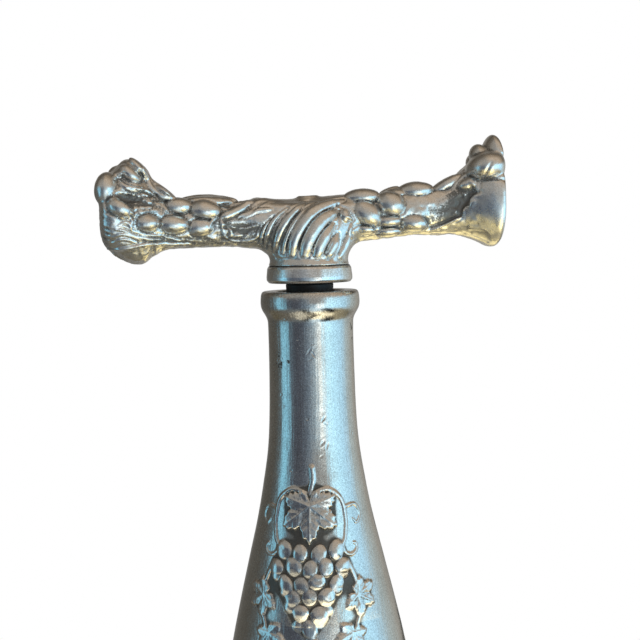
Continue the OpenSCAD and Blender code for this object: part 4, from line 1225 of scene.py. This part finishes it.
def make_world():
    w = bpy.data.worlds.new("studio")
    bpy.context.scene.world = w
    w.use_nodes = True
    t = w.node_tree
    t.nodes.clear()
    new = t.nodes.new
    out = new("ShaderNodeOutputWorld")
    dot, calc, ramp, mix, step = light_nodes(t, new("ShaderNodeTexCoord").outputs["Generated"])
    side, front, lift = dot(SIDE), dot(BACK), dot((0, 0, 1))
    half = lambda v: v * 0.5 + 0.5
    front01 = calc("ADD", calc("MULTIPLY", front, 0.5), 0.5)
    # overhead: warm and dim, darker towards the back
    above = ramp(front01, [(0.0, (0.42, 0.40, 0.37)), (half(-0.86), (0.28, 0.26, 0.23)), (half(-0.66), (0.09, 0.076, 0.058)), (half(-0.25), (0.36, 0.285, 0.205)), (half(0.2), (0.62, 0.50, 0.38)), (half(0.75), (0.56, 0.49, 0.41)), (1.0, (0.48, 0.46, 0.43))])
    # underneath: cool in front, then a dim olive table, dark behind the object
    below = ramp(front01, [(0.0, (0.40, 0.40, 0.39)), (half(-0.85), (0.30, 0.295, 0.28)), (half(-0.62), (0.14, 0.13, 0.10)), (half(-0.4), (0.30, 0.27, 0.18)), (half(-0.1), (0.44, 0.39, 0.26)), (half(0.15), (0.58, 0.51, 0.33)), (half(0.36), (0.68, 0.64, 0.50)), (half(0.5), (0.70, 0.84, 0.90)), (half(0.7), (1.02, 1.30, 1.45)), (1.0, (1.0, 1.32, 1.50))])
    dim = ramp(front01, [(0.0, (0.40, 0.40, 0.39)), (half(-0.85), (0.30, 0.295, 0.28)), (half(-0.4), (0.17, 0.15, 0.10)), (half(0.1), (0.20, 0.19, 0.16)), (half(0.6), (0.20, 0.225, 0.235)), (1.0, (0.24, 0.29, 0.32))])
    shade = ramp(front01, [(0.0, (0.42, 0.40, 0.37)), (half(-0.86), (0.28, 0.26, 0.23)), (half(-0.66), (0.08, 0.068, 0.05)), (half(-0.3), (0.16, 0.14, 0.115)), (half(0.3), (0.38, 0.355, 0.315)), (1.0, (0.36, 0.36, 0.35))])
    env = mix(step(lift, -0.30, 0.06), mix(step(side, -0.12, 0.14), dim, below), mix(step(side, -0.34, 0.0), shade, above))
    lit = new("ShaderNodeBackground")
    t.links.new(env, lit.inputs["Color"])
    lit.inputs["Strength"].default_value = 1.0
    plain = new("ShaderNodeBackground")
    plain.inputs["Color"].default_value = (1, 1, 1, 1)
    plain.inputs["Strength"].default_value = 1.0
    path = new("ShaderNodeLightPath")
    both = new("ShaderNodeMixShader")
    t.links.new(path.outputs["Is Camera Ray"], both.inputs[0])
    t.links.new(lit.outputs[0], both.inputs[1])
    t.links.new(plain.outputs[0], both.inputs[2])
    t.links.new(both.outputs[0], out.inputs["Surface"])


def make_surround():
    """Soft screens that stand around the object, up to the height of its handle: dim on the left with one bright strip, a broad bright one on the right."""
    n, r = 160, 430.0
    a = np.linspace(0, 2 * math.pi, n, endpoint=False)
    v = np.concatenate([np.stack([r * np.cos(a), r * np.sin(a), np.full(n, z)], -1) for z in (H - 300.0, H + 130.0)])
    s = np.arange(n)
    s2 = (s + 1) % n
    ob = new_mesh("screens", v, np.stack([s, s2, n + s2, n + s], -1))
    m = bpy.data.materials.new("screen_light")
    m.use_nodes = True
    t = m.node_tree
    t.nodes.clear()
    new = t.nodes.new
    out = new("ShaderNodeOutputMaterial")
    dot, calc, ramp, mix, step = light_nodes(t, new("ShaderNodeTexCoord").outputs["Object"])
    side, front, tall = dot(SIDE), dot(BACK), dot((0, 0, 1))
    turn = calc("ADD", calc("DIVIDE", calc("ARCTAN2", side, front), 2 * math.pi), 0.5)
    deg = lambda a: a / 360.0 + 0.5
    band = ramp(turn, [(0.0, (0.43, 0.425, 0.41)), (deg(-166), (0.27, 0.265, 0.25)), (deg(-150), (0.14, 0.135, 0.12)), (deg(-128), (0.13, 0.125, 0.11)), (deg(-112), (0.12, 0.115, 0.10)), (deg(-90), (0.14, 0.17, 0.18)), (deg(-80), (0.42, 0.95, 1.25)), (deg(-70), (0.38, 0.88, 1.15)), (deg(-58), (0.15, 0.20, 0.25)),
                       (deg(-44), (0.085, 0.093, 0.118)), (deg(-24), (0.11, 0.13, 0.165)), (deg(-6), (0.25, 0.34, 0.43)), (deg(14), (0.68, 0.95, 1.12)), (deg(20), (2.1, 2.25, 2.2)), (deg(27), (2.1, 2.25, 2.2)), (deg(34), (0.92, 1.48, 1.78)), (deg(46), (0.98, 1.60, 1.92)), (deg(60), (0.86, 1.46, 1.82)), (deg(86), (0.70, 1.16, 1.50)),
                       (deg(108), (0.62, 0.74, 0.76)), (deg(140), (0.48, 0.46, 0.41)), (deg(158), (0.33, 0.32, 0.30)), (1.0, (0.43, 0.425, 0.41))], "LINEAR")
    # the part in front, at the height of the handle, is a dim wall
    wall = calc("MULTIPLY", step(tall, (H - 78) * MM, (H - 4) * MM), calc("MULTIPLY", step(turn, deg(-14), deg(4)), step(turn, deg(42), deg(27))))
    glow = new("ShaderNodeEmission")
    t.links.new(mix(wall, band, (0.385, 0.39, 0.38, 1)), glow.inputs["Color"])
    clear = new("ShaderNodeBsdfTransparent")
    shown = calc("MULTIPLY", step(tall, (H + 122) * MM, (H + 34) * MM), step(tall, (H - 290) * MM, (H - 160) * MM))
    both = new("ShaderNodeMixShader")
    t.links.new(shown, both.inputs[0])
    t.links.new(clear.outputs[0], both.inputs[1])
    t.links.new(glow.outputs[0], both.inputs[2])
    t.links.new(both.outputs[0], out.inputs["Surface"])
    m.cycles.emission_sampling = "NONE"
    give(ob, m)
    for key in ("visible_camera", "visible_diffuse", "visible_transmission", "visible_volume_scatter", "visible_shadow"):
        setattr(ob, key, False)


def shine_on(card, pieces):
    """Lets a card light these pieces only."""
    lit = bpy.data.collections.new(card.name + "_lit")
    for p in pieces:
        lit.objects.link(p)
    card.light_linking.receiver_collection = lit


def make_gold_card(name, x0, x1, y0, y1, z, skew, soft, strength, tint=(1.0, 0.84, 0.42)):
    """A warm card that is held level beside the sheath, below the handle; it shines upwards only and fades out at its edges. Its sides lean by skew."""
    ob = new_mesh(name, np.array([[x + skew * y, y, z] for x, y in ((x0, y0), (x1, y0), (x1, y1), (x0, y1))]), np.array([[0, 1, 2, 3]]))
    m = bpy.data.materials.new(name + "_light")
    m.use_nodes = True
    t = m.node_tree
    t.nodes.clear()
    new = t.nodes.new
    out = new("ShaderNodeOutputMaterial")
    dot, calc, ramp, mix, step = light_nodes(t, new("ShaderNodeTexCoord").outputs["Object"])
    shown = calc("SUBTRACT", 1.0, new("ShaderNodeNewGeometry").outputs["Backfacing"])
    for axis, lo, hi, fade in (((1, -skew, 0), x0, x1, soft), ((0, 1, 0), y0, y1, 2.4 * soft)):
        along = dot(axis)
        shown = calc("MULTIPLY", shown, calc("MULTIPLY", step(along, lo * MM, (lo + fade) * MM), step(along, hi * MM, (hi - soft) * MM)))
    glow = new("ShaderNodeEmission")
    glow.inputs["Color"].default_value = (*tint, 1)
    glow.inputs["Strength"].default_value = strength
    clear = new("ShaderNodeBsdfTransparent")
    both = new("ShaderNodeMixShader")
    t.links.new(shown, both.inputs[0])
    t.links.new(clear.outputs[0], both.inputs[1])
    t.links.new(glow.outputs[0], both.inputs[2])
    t.links.new(both.outputs[0], out.inputs["Surface"])
    m.cycles.emission_sampling = "NONE"
    give(ob, m)
    for key in ("visible_camera", "visible_diffuse", "visible_transmission", "visible_volume_scatter", "visible_shadow"):
        setattr(ob, key, False)
    return ob


def make_floor():
    n = 96
    a = np.linspace(0, 2 * math.pi, n, endpoint=False)
    rings = np.array([40.0, 90.0, 150.0, 220.0, 280.0])
    v = np.concatenate([[[0, 0, -0.05]]] + [np.stack([r * np.cos(a), r * np.sin(a), np.full(n, -0.05)], -1) for r in rings])
    s = np.arange(n)
    s2 = (s + 1) % n
    tri = np.stack([np.zeros(n, int), 1 + s, 1 + s2], -1)
    q = np.vstack([np.stack([1 + k * n + s, 1 + (k + 1) * n + s, 1 + (k + 1) * n + s2, 1 + k * n + s2], -1) for k in range(len(rings) - 1)])
    fl = new_mesh("floor", v, [q, tri])
    m = bpy.data.materials.new("floor_paper")
    m.use_nodes = True
    t = m.node_tree
    t.nodes.clear()
    out = t.nodes.new("ShaderNodeOutputMaterial")
    dif = t.nodes.new("ShaderNodeBsdfDiffuse")
    dif.inputs["Color"].default_value = (0.86, 0.86, 0.855, 1)
    glow = t.nodes.new("ShaderNodeEmission")
    glow.inputs["Color"].default_value = (1, 1, 1, 1)
    glow.inputs["Strength"].default_value = 0.52
    both = t.nodes.new("ShaderNodeAddShader")
    clear = t.nodes.new("ShaderNodeBsdfTransparent")
    mixs = t.nodes.new("ShaderNodeMixShader")
    tc = t.nodes.new("ShaderNodeTexCoord")
    ln = t.nodes.new("ShaderNodeVectorMath")
    ln.operation = "LENGTH"
    rg = t.nodes.new("ShaderNodeMapRange")
    rg.interpolation_type = "SMOOTHSTEP"
    rg.inputs["From Min"].default_value, rg.inputs["From Max"].default_value = 0.09, 0.275
    t.links.new(tc.outputs["Object"], ln.inputs[0])
    t.links.new(ln.outputs["Value"], rg.inputs["Value"])
    t.links.new(dif.outputs[0], both.inputs[0])
    t.links.new(glow.outputs[0], both.inputs[1])
    see = t.nodes.new("ShaderNodeMath")
    see.operation = "MAXIMUM"
    t.links.new(rg.outputs[0], see.inputs[0])
    t.links.new(t.nodes.new("ShaderNodeNewGeometry").outputs["Backfacing"], see.inputs[1])
    t.links.new(see.outputs[0], mixs.inputs[0])
    t.links.new(both.outputs[0], mixs.inputs[1])
    t.links.new(clear.outputs[0], mixs.inputs[2])
    t.links.new(mixs.outputs[0], out.inputs["Surface"])
    give(fl, m)
    fl.visible_glossy = False


# --------------------------------------------------------------------------
# the scene
# --------------------------------------------------------------------------
make_camera()
make_world()
make_surround()
card_right = make_gold_card("card_right", 24.0, 104.0, -160.0, -28.0, H - 80, 0.0, 24.0, 3.0)
card_left = make_gold_card("card_left", 26.0, 70.0, -114.0, -14.0, H - 80, 1.06, 14.0, 1.25)
card_back = make_gold_card("card_back", 8.0, 138.0, 21.0, 192.0, H - 130, 0.0, 24.0, 1.65)
card_lip = make_gold_card("card_lip", -24.0, 66.0, -92.0, -14.0, H - 84, 0.0, 14.0, 2.5, (1.0, 0.90, 0.62))
card_lip_left = make_gold_card("card_lip_left", -66.0, -10.0, -92.0, -14.0, H - 84, 0.0, 14.0, 0.9, (1.0, 0.94, 0.74))
make_floor()
bpy.context.scene.view_settings.view_transform = "Standard"

pewter = pewter_material("pewter", drawn=1.0)
pewter_rough = pewter_material("pewter_vine", light=(0.74, 0.73, 0.71), rough=0.275, patina_shade_strength=0.88, scratch=0.5, grainy=0.5, spotted=1.0)
pewter_bright = pewter_material("pewter_ring", light=(0.78, 0.78, 0.77), rough=0.19, scratch=1.2)
pewter_plain = pewter_material("pewter_plain", light=(0.50, 0.49, 0.465), rough=0.36)
steel = steel_material("steel")
black = stopper_material("black_stopper")
felt = felt_material("felt")

PIECES = [
    (handle_object(), pewter_rough, "corkscrew", "vine_handle", "pewter"),
    (ferrule_object(), pewter_bright, "corkscrew", "hub_ferrule", "pewter"),
    (worm_object(), steel, "corkscrew", "worm", "steel"),
    (stopper_object(), black, "stopper", "stopper", "black_stopper"),
    (shell_half("bottle_front_cast", 0.0, True), pewter, "sheath", "bottle_front", "pewter"),
    (shell_half("bottle_back_cast", 180.0, False), pewter, "sheath", "bottle_back", "pewter"),
    (bush_object(), pewter_plain, "sheath", "mouth_bush", "plain_pewter"),
    (plate_object(), pewter_plain, "sheath", "base_plate", "plain_pewter"),
    (felt_object(), felt, "sheath", "base_felt", "felt")]
for ob, mat, body, node, slot in PIECES:
    give(ob, mat)
    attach(ob, body)
    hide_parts(node)
give(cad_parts["cross_pin"], steel)
for card in (card_right, card_left, card_back):
    shine_on(card, [PIECES[0][0]])
for card in (card_lip, card_lip_left):
    shine_on(card, [PIECES[4][0], PIECES[5][0]])
